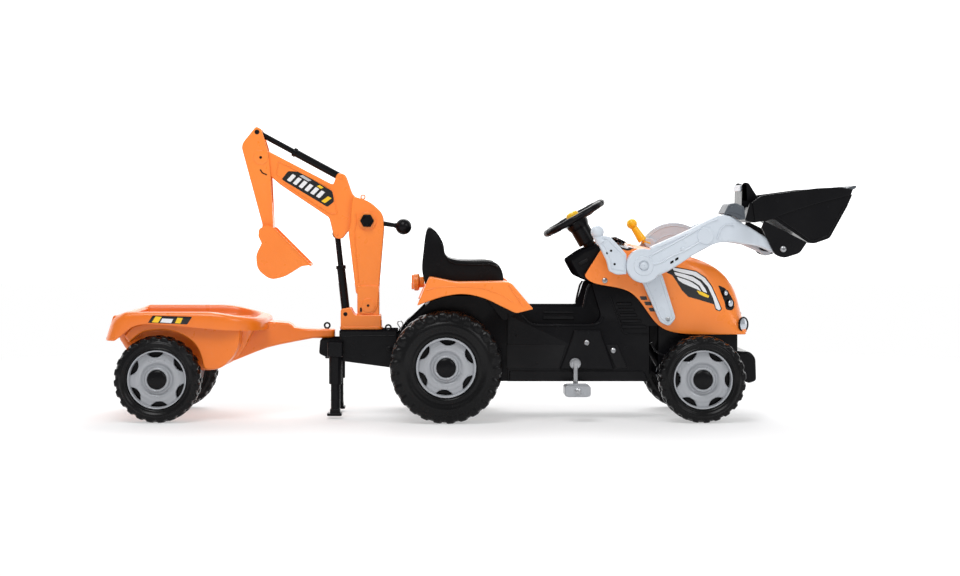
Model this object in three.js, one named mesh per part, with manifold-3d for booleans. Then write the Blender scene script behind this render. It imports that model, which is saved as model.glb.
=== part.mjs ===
// A child's pedal tractor with a front loader, a rear digger and a two-wheeled trailer.
// Units are millimetres. +X is forwards, +Z is up, and the near (right-hand) side is -Y.
// The origin lies on the ground under the middle of the whole train.
import * as THREE from 'three';
import { mergeVertices } from 'three/addons/utils/BufferGeometryUtils.js';
import { ConvexGeometry } from 'three/addons/geometries/ConvexGeometry.js';
import Module from 'manifold-3d';

const wasm = await Module();
wasm.setup();

// ---- Driving dimensions ----
const gap = 0.3; // clearance between neighbouring pieces
const runningGap = 1; // clearance round a piece that moves

const rearWheel = { radius: 134, rim: 72, axleX: -88, inner: 137, outer: 220, lugs: 18 };
const frontWheel = { radius: 104, rim: 71, axleX: 524, inner: 140, outer: 200, lugs: 16 };
const trailerWheel = { radius: 104, rim: 71, axleX: -777, inner: 138, outer: 198, lugs: 16 };
const lugDepth = 7;
const lugShare = 0.62; // share of the pitch that a lug fills
const axleRadius = 8;

const tub = { halfWidth: 112, frontHalfWidth: 97, bottom: 93, top: 272, wall: 5 };
const kingPin = { y: 112, radius: 5 };
const crank = { x: 225, z: 137, radius: 60, endY: 132, pedalInner: 138, pedalOuter: 204 };
const chainY = 40; // plane of the chain, on the left
const sprocketRadius = { crank: 42, rear: 26 };

const seatStud = { x: -45, y: 40, radius: 4.4, travel: 40 }; // the seat's two studs slide in slots
const wheelTilt = THREE.MathUtils.degToRad(30);
const steering = { x: 232, z: 489, radius: 78, tube: 8 };

const loaderPivot = { x: 383.5, z: 375 };
const bucketPivot = { x: 728, z: 414 };
const tiltPivot = { x: 501, z: 392 };
const tiltDisc = { face: 149, back: 157.7, radius: 84 };
const loaderArm = { inner: 160, outer: 184, tipInner: 98, tipOuter: 115 };

const boomPivot = { x: -281.5, z: 482.5 };
const stickPivot = { x: -545, z: 639 };
const bucketHinge = { x: -532, z: 448 };
const hitchPin = { x: -382, top: 219 };
const turretAxis = { x: -300, z: 213 };
const stabiliser = { x: -357, y: 82, radius: 11.5 };

// ---- Finishes ----
const finishes = {
  orange: { color: 0xf5822e, roughness: 0.35, metalness: 0 },
  black: { color: 0x17171a, roughness: 0.35, metalness: 0 },
  tyre: { color: 0x101012, roughness: 0.45, metalness: 0 },
  silver: { color: 0xa6abb2, roughness: 0.4, metalness: 0.2 },
  grey: { color: 0xccd6e0, roughness: 0.45, metalness: 0 },
  yellow: { color: 0xf7c31e, roughness: 0.35, metalness: 0 },
  steel: { color: 0x9aa0a6, roughness: 0.35, metalness: 0.9 },
};

// ---- Helpers ----
const group = new THREE.Group();

// A closed geometry as a solid that can be joined and cut.
function solid(geometry) {
  const bare = geometry.index ? geometry.toNonIndexed() : geometry.clone();
  bare.deleteAttribute('normal');
  bare.deleteAttribute('uv');
  const merged = mergeVertices(bare, 1e-4);
  const mesh = new wasm.Mesh({
    numProp: 3,
    vertProperties: new Float32Array(merged.attributes.position.array),
    triVerts: new Uint32Array(merged.index.array),
  });
  return new wasm.Manifold(mesh);
}

function geometryOf(body) {
  const mesh = body.getMesh();
  const geometry = new THREE.BufferGeometry();
  geometry.setAttribute('position', new THREE.BufferAttribute(new Float32Array(mesh.vertProperties), 3));
  geometry.setIndex(new THREE.BufferAttribute(new Uint32Array(mesh.triVerts), 1));
  return geometry;
}

function moved(body, x, y, z) {
  const geometry = geometryOf(body);
  geometry.translate(x, y, z);
  return solid(geometry);
}

function join(...bodies) {
  return bodies.reduce((whole, body) => whole.add(body));
}

function cut(body, ...tools) {
  return tools.reduce((rest, tool) => rest.subtract(tool), body);
}

function node(name, finish, body) {
  const material = new THREE.MeshStandardMaterial(finishes[finish]);
  const mesh = new THREE.Mesh(geometryOf(body), material);
  mesh.name = name;
  group.add(mesh);
}

// An outline of [x, z] or [x, z, corner radius] points as a shape with rounded corners.
function outline(points) {
  const shape = new THREE.Shape();
  const corners = points.map(([x, z]) => new THREE.Vector2(x, z));
  points.forEach(([, , radius = 0], i) => {
    const here = corners[i];
    const before = corners[(i + points.length - 1) % points.length];
    const after = corners[(i + 1) % points.length];
    const start = here.clone().add(before.clone().sub(here).setLength(radius));
    const end = here.clone().add(after.clone().sub(here).setLength(radius));
    if (i === 0) shape.moveTo(start.x, start.y);
    else shape.lineTo(start.x, start.y);
    if (radius > 0) shape.quadraticCurveTo(here.x, here.y, end.x, end.y);
  });
  shape.closePath();
  return shape;
}

// A side view (X, Z) drawn out across the vehicle from y0 to y1.
function across(points, y0, y1, curveSegments = 2) {
  const options = { depth: y1 - y0, bevelEnabled: false, curveSegments };
  const geometry = new THREE.ExtrudeGeometry(outline(points), options);
  geometry.rotateX(Math.PI / 2);
  geometry.translate(0, y1, 0);
  return solid(geometry);
}

// A plan view (X, Y) drawn upwards from z0 to z1.
function upwards(points, z0, z1, curveSegments = 2) {
  const options = { depth: z1 - z0, bevelEnabled: false, curveSegments };
  const geometry = new THREE.ExtrudeGeometry(outline(points), options);
  geometry.translate(0, 0, z0);
  return solid(geometry);
}

function box(x0, x1, y0, y1, z0, z1) {
  const geometry = new THREE.BoxGeometry(x1 - x0, y1 - y0, z1 - z0);
  geometry.translate((x0 + x1) / 2, (y0 + y1) / 2, (z0 + z1) / 2);
  return solid(geometry);
}

function point(x, y, z) {
  return new THREE.Vector3(x, y, z);
}

// A round bar from one point to another, or a cone where its two radii differ.
function bar(from, to, radius, sides = 16, endRadius = radius) {
  const along = to.clone().sub(from);
  const geometry = new THREE.CylinderGeometry(endRadius, radius, along.length(), sides);
  geometry.applyQuaternion(new THREE.Quaternion().setFromUnitVectors(
    new THREE.Vector3(0, 1, 0),
    along.clone().normalize(),
  ));
  geometry.translate(...from.clone().add(to).multiplyScalar(0.5).toArray());
  return solid(geometry);
}

function crossBar(x, z, y0, y1, radius, sides = 16) {
  return bar(point(x, y0, z), point(x, y1, z), radius, sides);
}

function ball(x, y, z, radius, sides = 10) {
  const geometry = new THREE.SphereGeometry(radius, sides, sides / 2 + 1);
  geometry.translate(x, y, z);
  return solid(geometry);
}

// A closed [radius, y] profile turned about a crosswise axis through (x, z).
function turned(x, z, profile, sides) {
  const closed = [...profile, profile[0]].map(([radius, y]) => new THREE.Vector2(radius, y));
  const geometry = new THREE.LatheGeometry(closed, sides);
  geometry.translate(x, 0, z);
  const body = solid(geometry);
  return body.volume() < 0 ? solid(flipped(geometry)) : body;
}

function flipped(geometry) {
  const turnedOut = geometry.toNonIndexed();
  const places = turnedOut.attributes.position;
  for (let i = 0; i < places.count; i += 3) {
    const first = [places.getX(i), places.getY(i), places.getZ(i)];
    places.setXYZ(i, places.getX(i + 1), places.getY(i + 1), places.getZ(i + 1));
    places.setXYZ(i + 1, ...first);
  }
  return turnedOut;
}

// The tightest convex body round a list of points.
function wrap(points) {
  return solid(new ConvexGeometry(points.map(([x, y, z]) => point(x, y, z))));
}

// A convex run between rectangular stations { x, z0, z1, y0, y1 }, joined end to end.
function beam(stations) {
  const corners = ({ x, z0, z1, y0, y1 }) => [[x, y0, z0], [x, y1, z0], [x, y0, z1], [x, y1, z1]];
  const runs = stations.slice(1).map((station, i) => wrap([...corners(stations[i]), ...corners(station)]));
  return join(...runs);
}

// The sign of Y and the name of each side of the centre plane.
const sides = [[-1, 'right'], [1, 'left']];

function span(side, a, b) {
  return [Math.min(side * a, side * b), Math.max(side * a, side * b)];
}

// A front view (Y, Z) drawn out along the vehicle from x0 to x1.
function lengthwise(points, x0, x1, curveSegments = 2) {
  const options = { depth: x1 - x0, bevelEnabled: false, curveSegments };
  const geometry = new THREE.ExtrudeGeometry(outline(points), options);
  const axes = new THREE.Matrix4().makeBasis(point(0, 1, 0), point(0, 0, 1), point(1, 0, 0));
  geometry.applyMatrix4(axes);
  geometry.translate(x0, 0, 0);
  return solid(geometry);
}

// An outline moved inwards by a wall's thickness.
function inset(points, wall) {
  const corners = points.map(([x, z]) => new THREE.Vector2(x, z));
  const turn = THREE.ShapeUtils.isClockWise(corners) ? -1 : 1;
  const inward = (a, b) => b.clone().sub(a).normalize().rotateAround(new THREE.Vector2(), turn * Math.PI / 2);
  return corners.map((here, i) => {
    const before = inward(corners[(i + corners.length - 1) % corners.length], here);
    const after = inward(here, corners[(i + 1) % corners.length]);
    const middle = before.clone().add(after).normalize();
    const reach = wall / Math.max(middle.dot(before), 0.4);
    const place = here.clone().addScaledVector(middle, reach);
    return [place.x, place.y, Math.max((points[i][2] ?? 0) - wall, 0)];
  });
}

// ---- Wheels ----
function tyre(spec, side) {
  const points = [];
  const pitch = (2 * Math.PI) / spec.lugs;
  const valley = spec.radius - lugDepth;
  for (let i = 0; i < spec.lugs; i += 1) {
    const middle = i * pitch - Math.PI / 2;
    const half = (pitch * lugShare) / 2;
    const flat = spec.radius / Math.cos(half);
    [[-half - 0.04, valley], [-half, flat], [half, flat], [half + 0.04, valley]].forEach(([turn, radius]) => {
      points.push([spec.axleX + radius * Math.cos(middle + turn), spec.radius + radius * Math.sin(middle + turn)]);
    });
  }
  const [y0, y1] = span(side, spec.inner, spec.outer);
  return cut(across(points, y0, y1), crossBar(spec.axleX, spec.radius, y0 - 1, y1 + 1, spec.rim, 18));
}

// A dished disc with a hub and six half-moon windows.
function rim(spec, side) {
  const edge = spec.rim - gap;
  const profile = [
    [axleRadius + gap, spec.inner + 14], [axleRadius + gap, spec.outer - 12], [27, spec.outer - 12],
    [34, spec.outer - 24], [46, spec.outer - 24], [57, spec.outer - 12], [edge, spec.outer - 5],
    [edge, spec.inner + 14],
  ];
  const disc = turned(spec.axleX, spec.radius, profile.map(([r, y]) => [r, side * y]), 18);
  const windows = Array.from({ length: 6 }, (_, i) => {
    const turn = (i * Math.PI) / 3 + Math.PI / 6;
    const x = spec.axleX + 57 * Math.cos(turn);
    const z = spec.radius + 57 * Math.sin(turn);
    const [y0, y1] = span(side, spec.outer - 34, spec.outer);
    return crossBar(x, z, y0, y1, 9, 6);
  });
  return cut(disc, ...windows);
}

function wheels() {
  sides.forEach(([side, label]) => {
    [['rear', rearWheel], ['front', frontWheel], ['trailer', trailerWheel]].forEach(([place, spec]) => {
      node(`${place}_tyre_${label}`, 'tyre', tyre(spec, side));
      node(`${place}_rim_${label}`, 'silver', rim(spec, side));
    });
  });
}

// ---- Pedal drive ----
function drive() {
  const rearReach = rearWheel.outer - 14;
  const axle = crossBar(rearWheel.axleX, rearWheel.radius, -rearReach, rearReach, axleRadius);
  node('rear_axle', 'steel', axle);
  const rear = crossBar(rearWheel.axleX, rearWheel.radius, chainY - 3, chainY + 3, sprocketRadius.rear, 20);
  const bore = crossBar(rearWheel.axleX, rearWheel.radius, chainY - 4, chainY + 4, axleRadius + gap);
  node('rear_sprocket', 'steel', cut(rear, bore));

  const shaft = crossBar(crank.x, crank.z, -crank.endY, crank.endY, 7, 12);
  const ring = crossBar(crank.x, crank.z, chainY - 3, chainY + 3, sprocketRadius.crank, 24);
  const arms = sides.map(([side]) => {
    const y = side * crank.endY;
    const end = point(crank.x, y, crank.z + side * crank.radius);
    const arm = bar(point(crank.x, y, crank.z - side * 7), end.clone().setZ(end.z + side * 5), 6, 8);
    const spindle = bar(end, end.clone().setY(side * crank.pedalOuter), 5, 8);
    return join(arm, spindle);
  });
  node('crankshaft', 'steel', join(shaft, ring, ...arms));
  sides.forEach(([side, label]) => {
    const z = crank.z + side * crank.radius;
    const [y0, y1] = span(side, crank.pedalInner + 4, crank.pedalOuter - 2);
    const block = across([
      [crank.x - 31, z - 13, 5], [crank.x + 31, z - 13, 5], [crank.x + 31, z + 13, 5], [crank.x - 31, z + 13, 5],
    ], y0, y1, 2);
    node(`pedal_${label}`, 'silver', cut(block, crossBar(crank.x, z, y0 - 5, y1 + 5, 5 + runningGap, 10)));
  });
  node('drive_chain', 'steel', chain());
}

// The chain's two straight runs and the two arcs round its sprockets, as one band.
function chain() {
  const rear = new THREE.Vector2(rearWheel.axleX, rearWheel.radius);
  const front = new THREE.Vector2(crank.x, crank.z);
  const loop = (extra) => {
    const big = sprocketRadius.crank + extra;
    const small = sprocketRadius.rear + extra;
    const tilt = Math.atan2(front.y - rear.y, front.x - rear.x);
    const lean = Math.acos((big - small) / front.distanceTo(rear));
    const points = [];
    for (let i = 0; i <= 8; i += 1) {
      const turn = tilt - lean + (i / 8) * 2 * lean;
      points.push([front.x + big * Math.cos(turn), front.y + big * Math.sin(turn)]);
    }
    for (let i = 0; i <= 6; i += 1) {
      const turn = tilt + lean + (i / 6) * (2 * Math.PI - 2 * lean);
      points.push([rear.x + small * Math.cos(turn), rear.y + small * Math.sin(turn)]);
    }
    return points;
  };
  const outer = across(loop(9), chainY - 4, chainY + 4);
  return cut(outer, across(loop(2.5), chainY - 5, chainY + 5));
}

// ---- Chassis ----
const tubOutline = [
  [-205, 132], [-172, 93, 12], [432, 93, 10], [452, 150, 8], [622, 150], [622, 205], [478, 205],
  [466, 262], [420, 300], [300, 330], [262, 330], [252, 300], [243, 272, 6], [112, 272], [70, 250],
  [40, 285], [-20, 300], [-80, 300], [-130, 285], [-165, 262], [-205, 240],
];
const shaftWay = () => bar(point(228, 0, 496), point(462, 0, 91), 16, 12);

function chassisTub() {
  const open = ([x, z, r]) => (z < 110 ? [x, z - 20, 0] : [x, z, r]);
  const whole = across(tubOutline, -tub.halfWidth, tub.halfWidth);
  const frontCheek = (side) => box(405, 640, ...span(side, tub.frontHalfWidth, 120), 90, 228);
  const footwell = (side) => across([
    [92, 285], [96, 250, 12], [122, 233, 10], [276, 233, 10], [290, 250, 10], [262, 345], [240, 300],
  ], ...span(side, 78, 120));
  const rearFlank = (side) => box(-230, 62, ...span(side, 106, 120), 80, 320);
  const hollowOutline = inset(tubOutline, tub.wall).map(open);
  const upper = across(hollowOutline, -72, 72);
  const lower = across([
    [-190, 70], [425, 70], [430, 110], [430, 226], [-190, 226],
  ], -101, 101);
  const bores = [
    crossBar(rearWheel.axleX, rearWheel.radius, -125, 125, axleRadius + 1.2),
    crossBar(crank.x, crank.z, -125, 125, 8.2),
  ];
  const posts = crossBar(446, 246, -118, 118, 5.3, 10);
  const sideCuts = sides.flatMap(([side]) => [frontCheek(side), footwell(side), rearFlank(side)]);
  return cut(whole, ...sideCuts, upper, lower, ...bores, posts, shaftWay());
}

const fenderOutline = [
  [-157, 283], [-149, 322, 8], [-134, 335, 8], [66, 335, 8], [112, 274, 5], [77, 263, 5],
  [62, 270], [44, 283], [8, 301], [-55, 311], [-101, 304],
];

// An arch over both rear wheels with a flat top for the seat; hollow underneath.
function rearFender() {
  const half = 212;
  const whole = across(fenderOutline, -half, half);
  const corners = sides.map(([side]) => upwards([
    [-200, side * 230], [-200, side * 178], [-158, side * 178, 0], [-128, side * 216, 0], [-128, side * 230],
  ], 250, 370));
  const pocketOutline = inset(fenderOutline, 6).map(([x, z]) => (z < 305 && x < 60 ? [x, z - 24, 0] : [x, z, 0]));
  const pocket = across(pocketOutline, -half + 6, half - 6);
  const reach = seatStud.radius + runningGap;
  const slots = sides.map(([side]) => box(
    seatStud.x - reach, seatStud.x + seatStud.travel + reach, ...span(side, seatStud.y - reach, seatStud.y + reach),
    300, 360,
  ));
  const knobBore = bar(point(-170, 0, 330), point(-110, 0, 330), 6.3, 10);
  return cut(whole, ...corners, pocket, ...slots, knobBore);
}

const dashOutline = [
  [213, 385, 5], [247, 409, 8], [298, 429, 4], [304, 400], [304, 338], [262, 333], [234, 346, 6], [220, 371],
];

function dashboard() {
  const block = across(dashOutline, -96, 96);
  const hollow = across([
    [219, 384], [249, 403], [294, 421], [320, 405], [320, 320], [262, 320], [256, 345], [236, 352], [226, 372],
  ], -91, 91);
  return cut(block, hollow, shaftWay());
}

function frontBumper() {
  const block = across([
    [623, 165], [655, 163, 6], [668, 148, 6], [670, 92, 6], [652, 86, 4], [626, 96, 4],
  ], -92, 92);
  const pocket = across([[615, 156], [648, 156], [661, 146], [662, 95], [650, 92], [615, 104]], -86, 86);
  return cut(block, pocket);
}

function frontAxleBeam() {
  const beamBar = box(512, 536, -122, 122, 121, 137);
  const block = box(498, 550, -60, 60, 130, 149.6);
  const bores = sides.map(([side]) => bar(
    point(frontWheel.axleX, side * kingPin.y, 110),
    point(frontWheel.axleX, side * kingPin.y, 150),
    kingPin.radius + 0.6,
    12,
  ));
  return cut(join(beamBar, block), ...bores);
}

function chassis() {
  node('chassis_tub', 'black', chassisTub());
  node('rear_fender', 'orange', rearFender());
  node('dashboard', 'black', dashboard());
  node('front_bumper', 'black', frontBumper());
  node('front_axle_beam', 'steel', frontAxleBeam());
}

// ---- Steering ----
const steeringArm = { x: 474, length: 50 };

function knuckle(side) {
  const y = side * kingPin.y;
  const x = frontWheel.axleX;
  const block = box(x - 10, x + 10, ...span(side, kingPin.y - 8, kingPin.y + 9), 92, 120);
  const pin = bar(point(x, y, 118), point(x, y, 143), kingPin.radius, 12);
  const stub = crossBar(x, frontWheel.radius, ...span(side, kingPin.y + 6, frontWheel.outer - 14), axleRadius, 14);
  const arm = box(steeringArm.x - 6, x - 8, ...span(side, kingPin.y - 8, kingPin.y + 5), 92, 99);
  const ballPin = bar(point(steeringArm.x, y, 98), point(steeringArm.x, y, 112), 4, 10);
  return join(block, pin, stub, arm, ballPin);
}

function steeringParts() {
  sides.forEach(([side, label]) => node(`knuckle_${label}`, 'steel', knuckle(side)));
  const rod = box(steeringArm.x - 9, steeringArm.x + 12, -kingPin.y - 9, kingPin.y + 9, 100, 107);
  const eyes = sides.map(([side]) => box(
    steeringArm.x - 5, steeringArm.x + 8.2, side * kingPin.y - 4.9, side * kingPin.y + 4.9, 99, 108,
  ));
  node('tie_rod', 'steel', cut(rod, ...eyes));
  node('steering_shaft', 'steel', steeringShaft());
  node('steering_wheel', 'black', steeringWheel());
  node('horn_button', 'yellow', hornButton());
}

// A piece drawn about the vertical, tilted about the steering wheel's centre.
function tilted(body) {
  const geometry = geometryOf(body);
  geometry.rotateY(-wheelTilt);
  geometry.translate(steering.x, 0, steering.z);
  return solid(geometry);
}

function steeringShaft() {
  const rod = bar(point(0, 0, -420), point(0, 0, -14), 8, 12);
  const column = bar(point(0, 0, -98), point(0, 0, -24), 15, 16);
  return tilted(join(rod, column));
}

function steeringWheel() {
  const ring = new THREE.TorusGeometry(steering.radius, steering.tube, 6, 24);
  const hub = bar(point(0, 0, -30), point(0, 0, 2), 30, 20, 26);
  const skirt = bar(point(0, 0, -70), point(0, 0, -29), 21, 16);
  const spokes = [0, 1, 2].map((i) => {
    const spoke = new THREE.BoxGeometry(steering.radius - 18, 24, 9);
    spoke.translate((steering.radius + 18) / 2, 0, -6);
    spoke.rotateZ((i * 2 * Math.PI) / 3);
    return solid(spoke);
  });
  const shell = join(solid(ring), hub, skirt, ...spokes);
  const well = bar(point(0, 0, -12), point(0, 0, 10), 17 + runningGap, 20);
  const bore = bar(point(0, 0, -80), point(0, 0, -5.6), 8 + gap, 12);
  const columnWay = bar(point(0, 0, -110), point(0, 0, -23.5), 15 + gap, 16);
  return tilted(cut(shell, well, bore, columnWay));
}

function hornButton() {
  const cap = bar(point(0, 0, -2), point(0, 0, 9), 17, 20, 14);
  const foot = bar(point(0, 0, -8), point(0, 0, -1), 9, 12);
  return tilted(join(cap, foot));
}

// ---- Seat ----
function seatParts() {
  const shell = across([
    [-129, 335.6], [-137, 450, 10], [-122, 467, 8], [-108, 452], [-98, 402, 12], [-72, 389, 12], [30, 389, 12],
    [54, 372, 8], [56, 346], [40, 335.6],
  ], -92, 92);
  const dished = beam([
    { x: -90, z0: 392, z1: 420, y0: -60, y1: 60 },
    { x: -60, z0: 378, z1: 420, y0: -66, y1: 66 },
    { x: 10, z0: 380, z1: 420, y0: -62, y1: 62 },
    { x: 40, z0: 392, z1: 420, y0: -50, y1: 50 },
  ]);
  const corners = sides.map(([side]) => lengthwise([
    [side * 96, 410], [side * 96, 500], [side * 56, 500], [side * 66, 440],
  ], -160, -90));
  const studs = sides.map(([side]) => bar(
    point(seatStud.x, side * seatStud.y, 320),
    point(seatStud.x, side * seatStud.y, 348),
    seatStud.radius,
    8,
  ));
  node('seat', 'black', join(cut(shell, dished, ...corners), ...studs));
  const grip = bar(point(-176, 0, 330), point(-158, 0, 330), 17, 10);
  const screw = bar(point(-160, 0, 330), point(-118, 0, 330), 5, 10);
  node('seat_lock_knob', 'orange', join(grip, screw));
}

// ---- Hood ----
const hoodOutline = [
  [247, 349, 6], [263, 329, 10], [300, 325], [345, 319, 10], [366, 307], [391, 276], [424, 228], [440, 212, 8],
  [630, 212, 5], [636, 240], [628, 272], [612, 306], [596, 330], [574, 362], [532, 387], [490, 398], [374, 420],
  [306, 443, 8],
];

function hoodSolid(wall) {
  const half = 130 - wall;
  const side = across(wall ? inset(hoodOutline, wall) : hoodOutline, -half, half);
  const nose = 640 - wall;
  const plan = upwards([
    [230, -half], [500, -half], [nose - 30, -half + 26, 10], [nose, -half + 60, 20], [nose, half - 60, 20],
    [nose - 30, half - 26, 10], [500, half], [230, half],
  ], 190, 470);
  const front = lengthwise([
    [-half, 190], [half, 190], [half, 330], [half - 8, 385, 20], [half - 42, 450 - wall, 30],
    [-half + 42, 450 - wall, 30], [-half + 8, 385, 20], [-half, 330],
  ], 230, 660);
  return side.intersect(plan).intersect(front);
}

function hood() {
  const room = hoodSolid(4);
  const opening = [5, 10].map((step) => moved(room, -step, 0, -step));
  const notches = sides.map(([side]) => across([
    [436, 200], [456, 200], [456, 256], [436, 256],
  ], ...span(side, 100, 140)));
  const dashWay = across(inset(dashOutline, -0.8), -97, 97);
  return cut(hoodSolid(0), room, ...opening, ...notches, dashWay, shaftWay());
}

// ---- Front loader ----
function loaderPost(side) {
  const plate = across([
    [loaderPivot.x - 31, loaderPivot.z - 8, 14], [loaderPivot.x - 8, loaderPivot.z + 30, 14],
    [loaderPivot.x + 26, loaderPivot.z + 18, 12], [434, 350], [466, 248, 6], [450, 228, 6], [428, 238, 6],
    [386, 332],
  ], ...span(side, 135, 144));
  const foot = crossBar(446, 246, ...span(side, 113, 136), 7.5, 12);
  const peg = crossBar(446, 246, ...span(side, 100, 116), 5, 10);
  return join(plate, foot, peg);
}

// The pin that a loader arm turns on, with the shoulder that holds the arm off its post.
function loaderPin(side) {
  const shoulder = crossBar(loaderPivot.x, loaderPivot.z, ...span(side, 144, 159.6), 20, 16);
  const pin = crossBar(loaderPivot.x, loaderPivot.z, ...span(side, 144, 187), 9.5, 14);
  return join(shoulder, pin);
}

// Stations along a loader arm between its boss and its turn-in: [x, lowest z, highest z].
const armRise = {
  right: [[445, 363, 440], [500, 399, 465], [548, 425, 491], [576, 431, 498]],
  left: [[445, 360, 426], [500, 392, 446], [548, 415, 468], [576, 424, 479]],
};
const armBend = { right: [606, 431, 489], left: [606, 428, 485] };

function loaderArmBody(side, label) {
  const { inner, outer, tipInner, tipOuter } = loaderArm;
  const place = (x, z0, z1, a = inner, b = outer) => {
    const [y0, y1] = span(side, a, b);
    return { x, z0, z1, y0, y1 };
  };
  const run = beam([
    place(383, 336, 415), ...armRise[label].map((station) => place(...station)),
    place(...armBend[label], inner - 14, outer - 14), place(668, 421, 455, tipInner + 1, tipOuter),
    place(700, 407, 437, tipInner, tipOuter), place(722, 398, 431, tipInner, tipOuter),
  ]);
  const eye = crossBar(bucketPivot.x, bucketPivot.z, ...span(side, tipInner, tipOuter), 19, 16);
  const boss = crossBar(loaderPivot.x, loaderPivot.z, ...span(side, inner, outer), 41, 24);
  const bores = [
    crossBar(loaderPivot.x, loaderPivot.z, ...span(side, inner - 2, outer + 2), 9.5 + gap, 14),
    crossBar(bucketPivot.x, bucketPivot.z, ...span(side, tipInner - 2, tipOuter + 2), 6 + gap, 12),
  ];
  if (side < 0) return cut(join(run, eye, boss), ...bores);
  const lug = crossBar(tiltPivot.x, tiltPivot.z, ...span(side, inner, outer), 22, 16);
  const lugBore = crossBar(tiltPivot.x, tiltPivot.z, ...span(side, inner - 2, outer + 2), 8 + gap, 12);
  return cut(join(run, eye, boss, lug), ...bores, lugBore);
}

function liftLever() {
  const plate = across([
    [262, 445], [272, 432], [288, 408], [301, 383], [296, 367, 4], [302, 357], [325, 353], [345, 357], [345, 402],
    [296, 448],
  ], -181, -163);
  const bossWay = crossBar(loaderPivot.x, loaderPivot.z, -190, -150, 41 + gap, 24);
  return join(cut(plate, bossWay), ball(274, -172, 455, 16));
}

// A block on top of the right arm, a web down its inner side and a bar from there to the left arm.
function loaderCrossbar() {
  const block = across([
    [566, 500.5], [575, 521, 4], [598, 525, 4], [622, 515, 5], [626, 487], [600, 495.5], [577, 499.5],
  ], -178, -80);
  const web = box(578, 600, -142, -118, 450, 505);
  const bar = box(556, 576, -159.6, 146, 446, 470);
  const stub = box(564, 576, 140, 159.6, 456, 470);
  const knee = box(566, 600, -142, -118, 446, 470);
  return join(block, web, bar, stub, knee);
}

function tiltHandle() {
  const { face, back, radius } = tiltDisc;
  const plate = crossBar(tiltPivot.x, tiltPivot.z, face, back, radius, 28);
  const chord = [[407, 315], [617, 431], [665, 344], [455, 227]];
  const disc = cut(plate, across(chord, face - 1, back + 1));
  const hub = crossBar(tiltPivot.x, tiltPivot.z, face - 2, loaderArm.outer + 5, 8, 12);
  node('tilt_disc', 'grey', join(disc, hub));
  const leverY = face - 4.5;
  const foot = crossBar(440, 424, leverY - 4, face - gap, 11, 10);
  const link = bar(point(440, leverY, 424), point(420, leverY, 434), 4, 8);
  const stalk = bar(point(422, leverY, 430), point(395, leverY, 470), 7, 8, 6);
  node('tilt_lever', 'yellow', join(foot, link, stalk, ball(392, leverY, 476, 12)));
}

const bucketOutline = [
  [637, 483], [648, 524, 4], [672, 532], [804, 558, 8], [851, 562, 6], [897, 546, 3], [884, 516], [842, 440, 6],
  [804, 427, 5], [790, 429], [708, 486], [661, 478],
];

// A scoop with an open top, a toothed front lip, a back guard and two ears on its hinge.
function loaderBucket() {
  const shell = across(bucketOutline, -117, 117);
  const room = across([
    [648, 600], [645, 492], [664, 485], [709, 492], [793, 434], [804, 432], [838, 444], [879, 516], [886, 538],
    [886, 600],
  ], -112, 112);
  const guard = across([[639, 488], [641, 572, 3], [652, 572, 3], [655, 488]], -52, 52);
  const ears = sides.map(([side]) => across([
    [676, 466], [683, 482], [786, 430, 4], [768, 404, 6], [730, 392, 8], [708, 400, 8],
  ], ...span(side, 116.2, 123.5)));
  const pins = sides.map(([side]) => crossBar(bucketPivot.x, bucketPivot.z, ...span(side, 96, 126), 6, 12));
  const teeth = Array.from({ length: 6 }, (_, i) => {
    const y = -100 + i * 40;
    return wrap([
      [880, y - 11, 545], [880, y + 11, 545], [880, y - 11, 560], [880, y + 11, 560],
      [910, y - 6, 566], [910, y + 6, 566], [908, y - 6, 562], [908, y + 6, 562],
    ]);
  });
  const lip = box(876, 893, -117, 117, 536, 553);
  return join(cut(shell, room), guard, ...ears, ...pins, lip, ...teeth);
}

function loader() {
  sides.forEach(([side, label]) => {
    node(`loader_post_${label}`, 'grey', loaderPost(side));
    node(`loader_pin_${label}`, 'grey', loaderPin(side));
    node(`loader_arm_${label}`, 'grey', loaderArmBody(side, label));
  });
  node('loader_crossbar', 'black', loaderCrossbar());
  node('lift_lever', 'grey', liftLever());
  tiltHandle();
  node('loader_bucket', 'black', loaderBucket());
}

// ---- Rear digger ----
function backhoeBase() {
  const block = across([
    [-396, 191, 4], [-399, 156, 6], [-372, 143], [-345, 138], [-218, 121, 6], [-206, 133], [-206, 213],
    [-349, 213], [-349, 191],
  ], -60, 60);
  const collars = sides.map(([side]) => join(
    box(stabiliser.x - 19, stabiliser.x + 19, ...span(side, 56, stabiliser.y + 20), 152, 186),
    bar(point(stabiliser.x, side * stabiliser.y, 82), point(stabiliser.x, side * stabiliser.y, 160), 15, 16),
  ));
  const legBores = sides.map(([side]) => bar(
    point(stabiliser.x, side * stabiliser.y, 70),
    point(stabiliser.x, side * stabiliser.y, 240),
    stabiliser.radius + 0.8,
    16,
  ));
  const turretBore = bar(point(turretAxis.x, 0, 150), point(turretAxis.x, 0, 230), 22 + gap, 20);
  const pinBore = bar(point(hitchPin.x, 0, 120), point(hitchPin.x, 0, 230), 5 + gap, 12);
  const underside = across([
    [-340, 100], [-340, 146], [-300, 143], [-214, 129], [-214, 100],
  ], -54, 54);
  return cut(join(block, ...collars), ...legBores, turretBore, pinBore, underside);
}

function stabiliserLeg(side) {
  const y = side * stabiliser.y;
  const leg = bar(point(stabiliser.x, y, 18), point(stabiliser.x, y, 150), stabiliser.radius, 16);
  const foot = box(stabiliser.x - 20, stabiliser.x + 16, y - 18, y + 18, 7, 24);
  return join(leg, foot);
}

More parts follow.
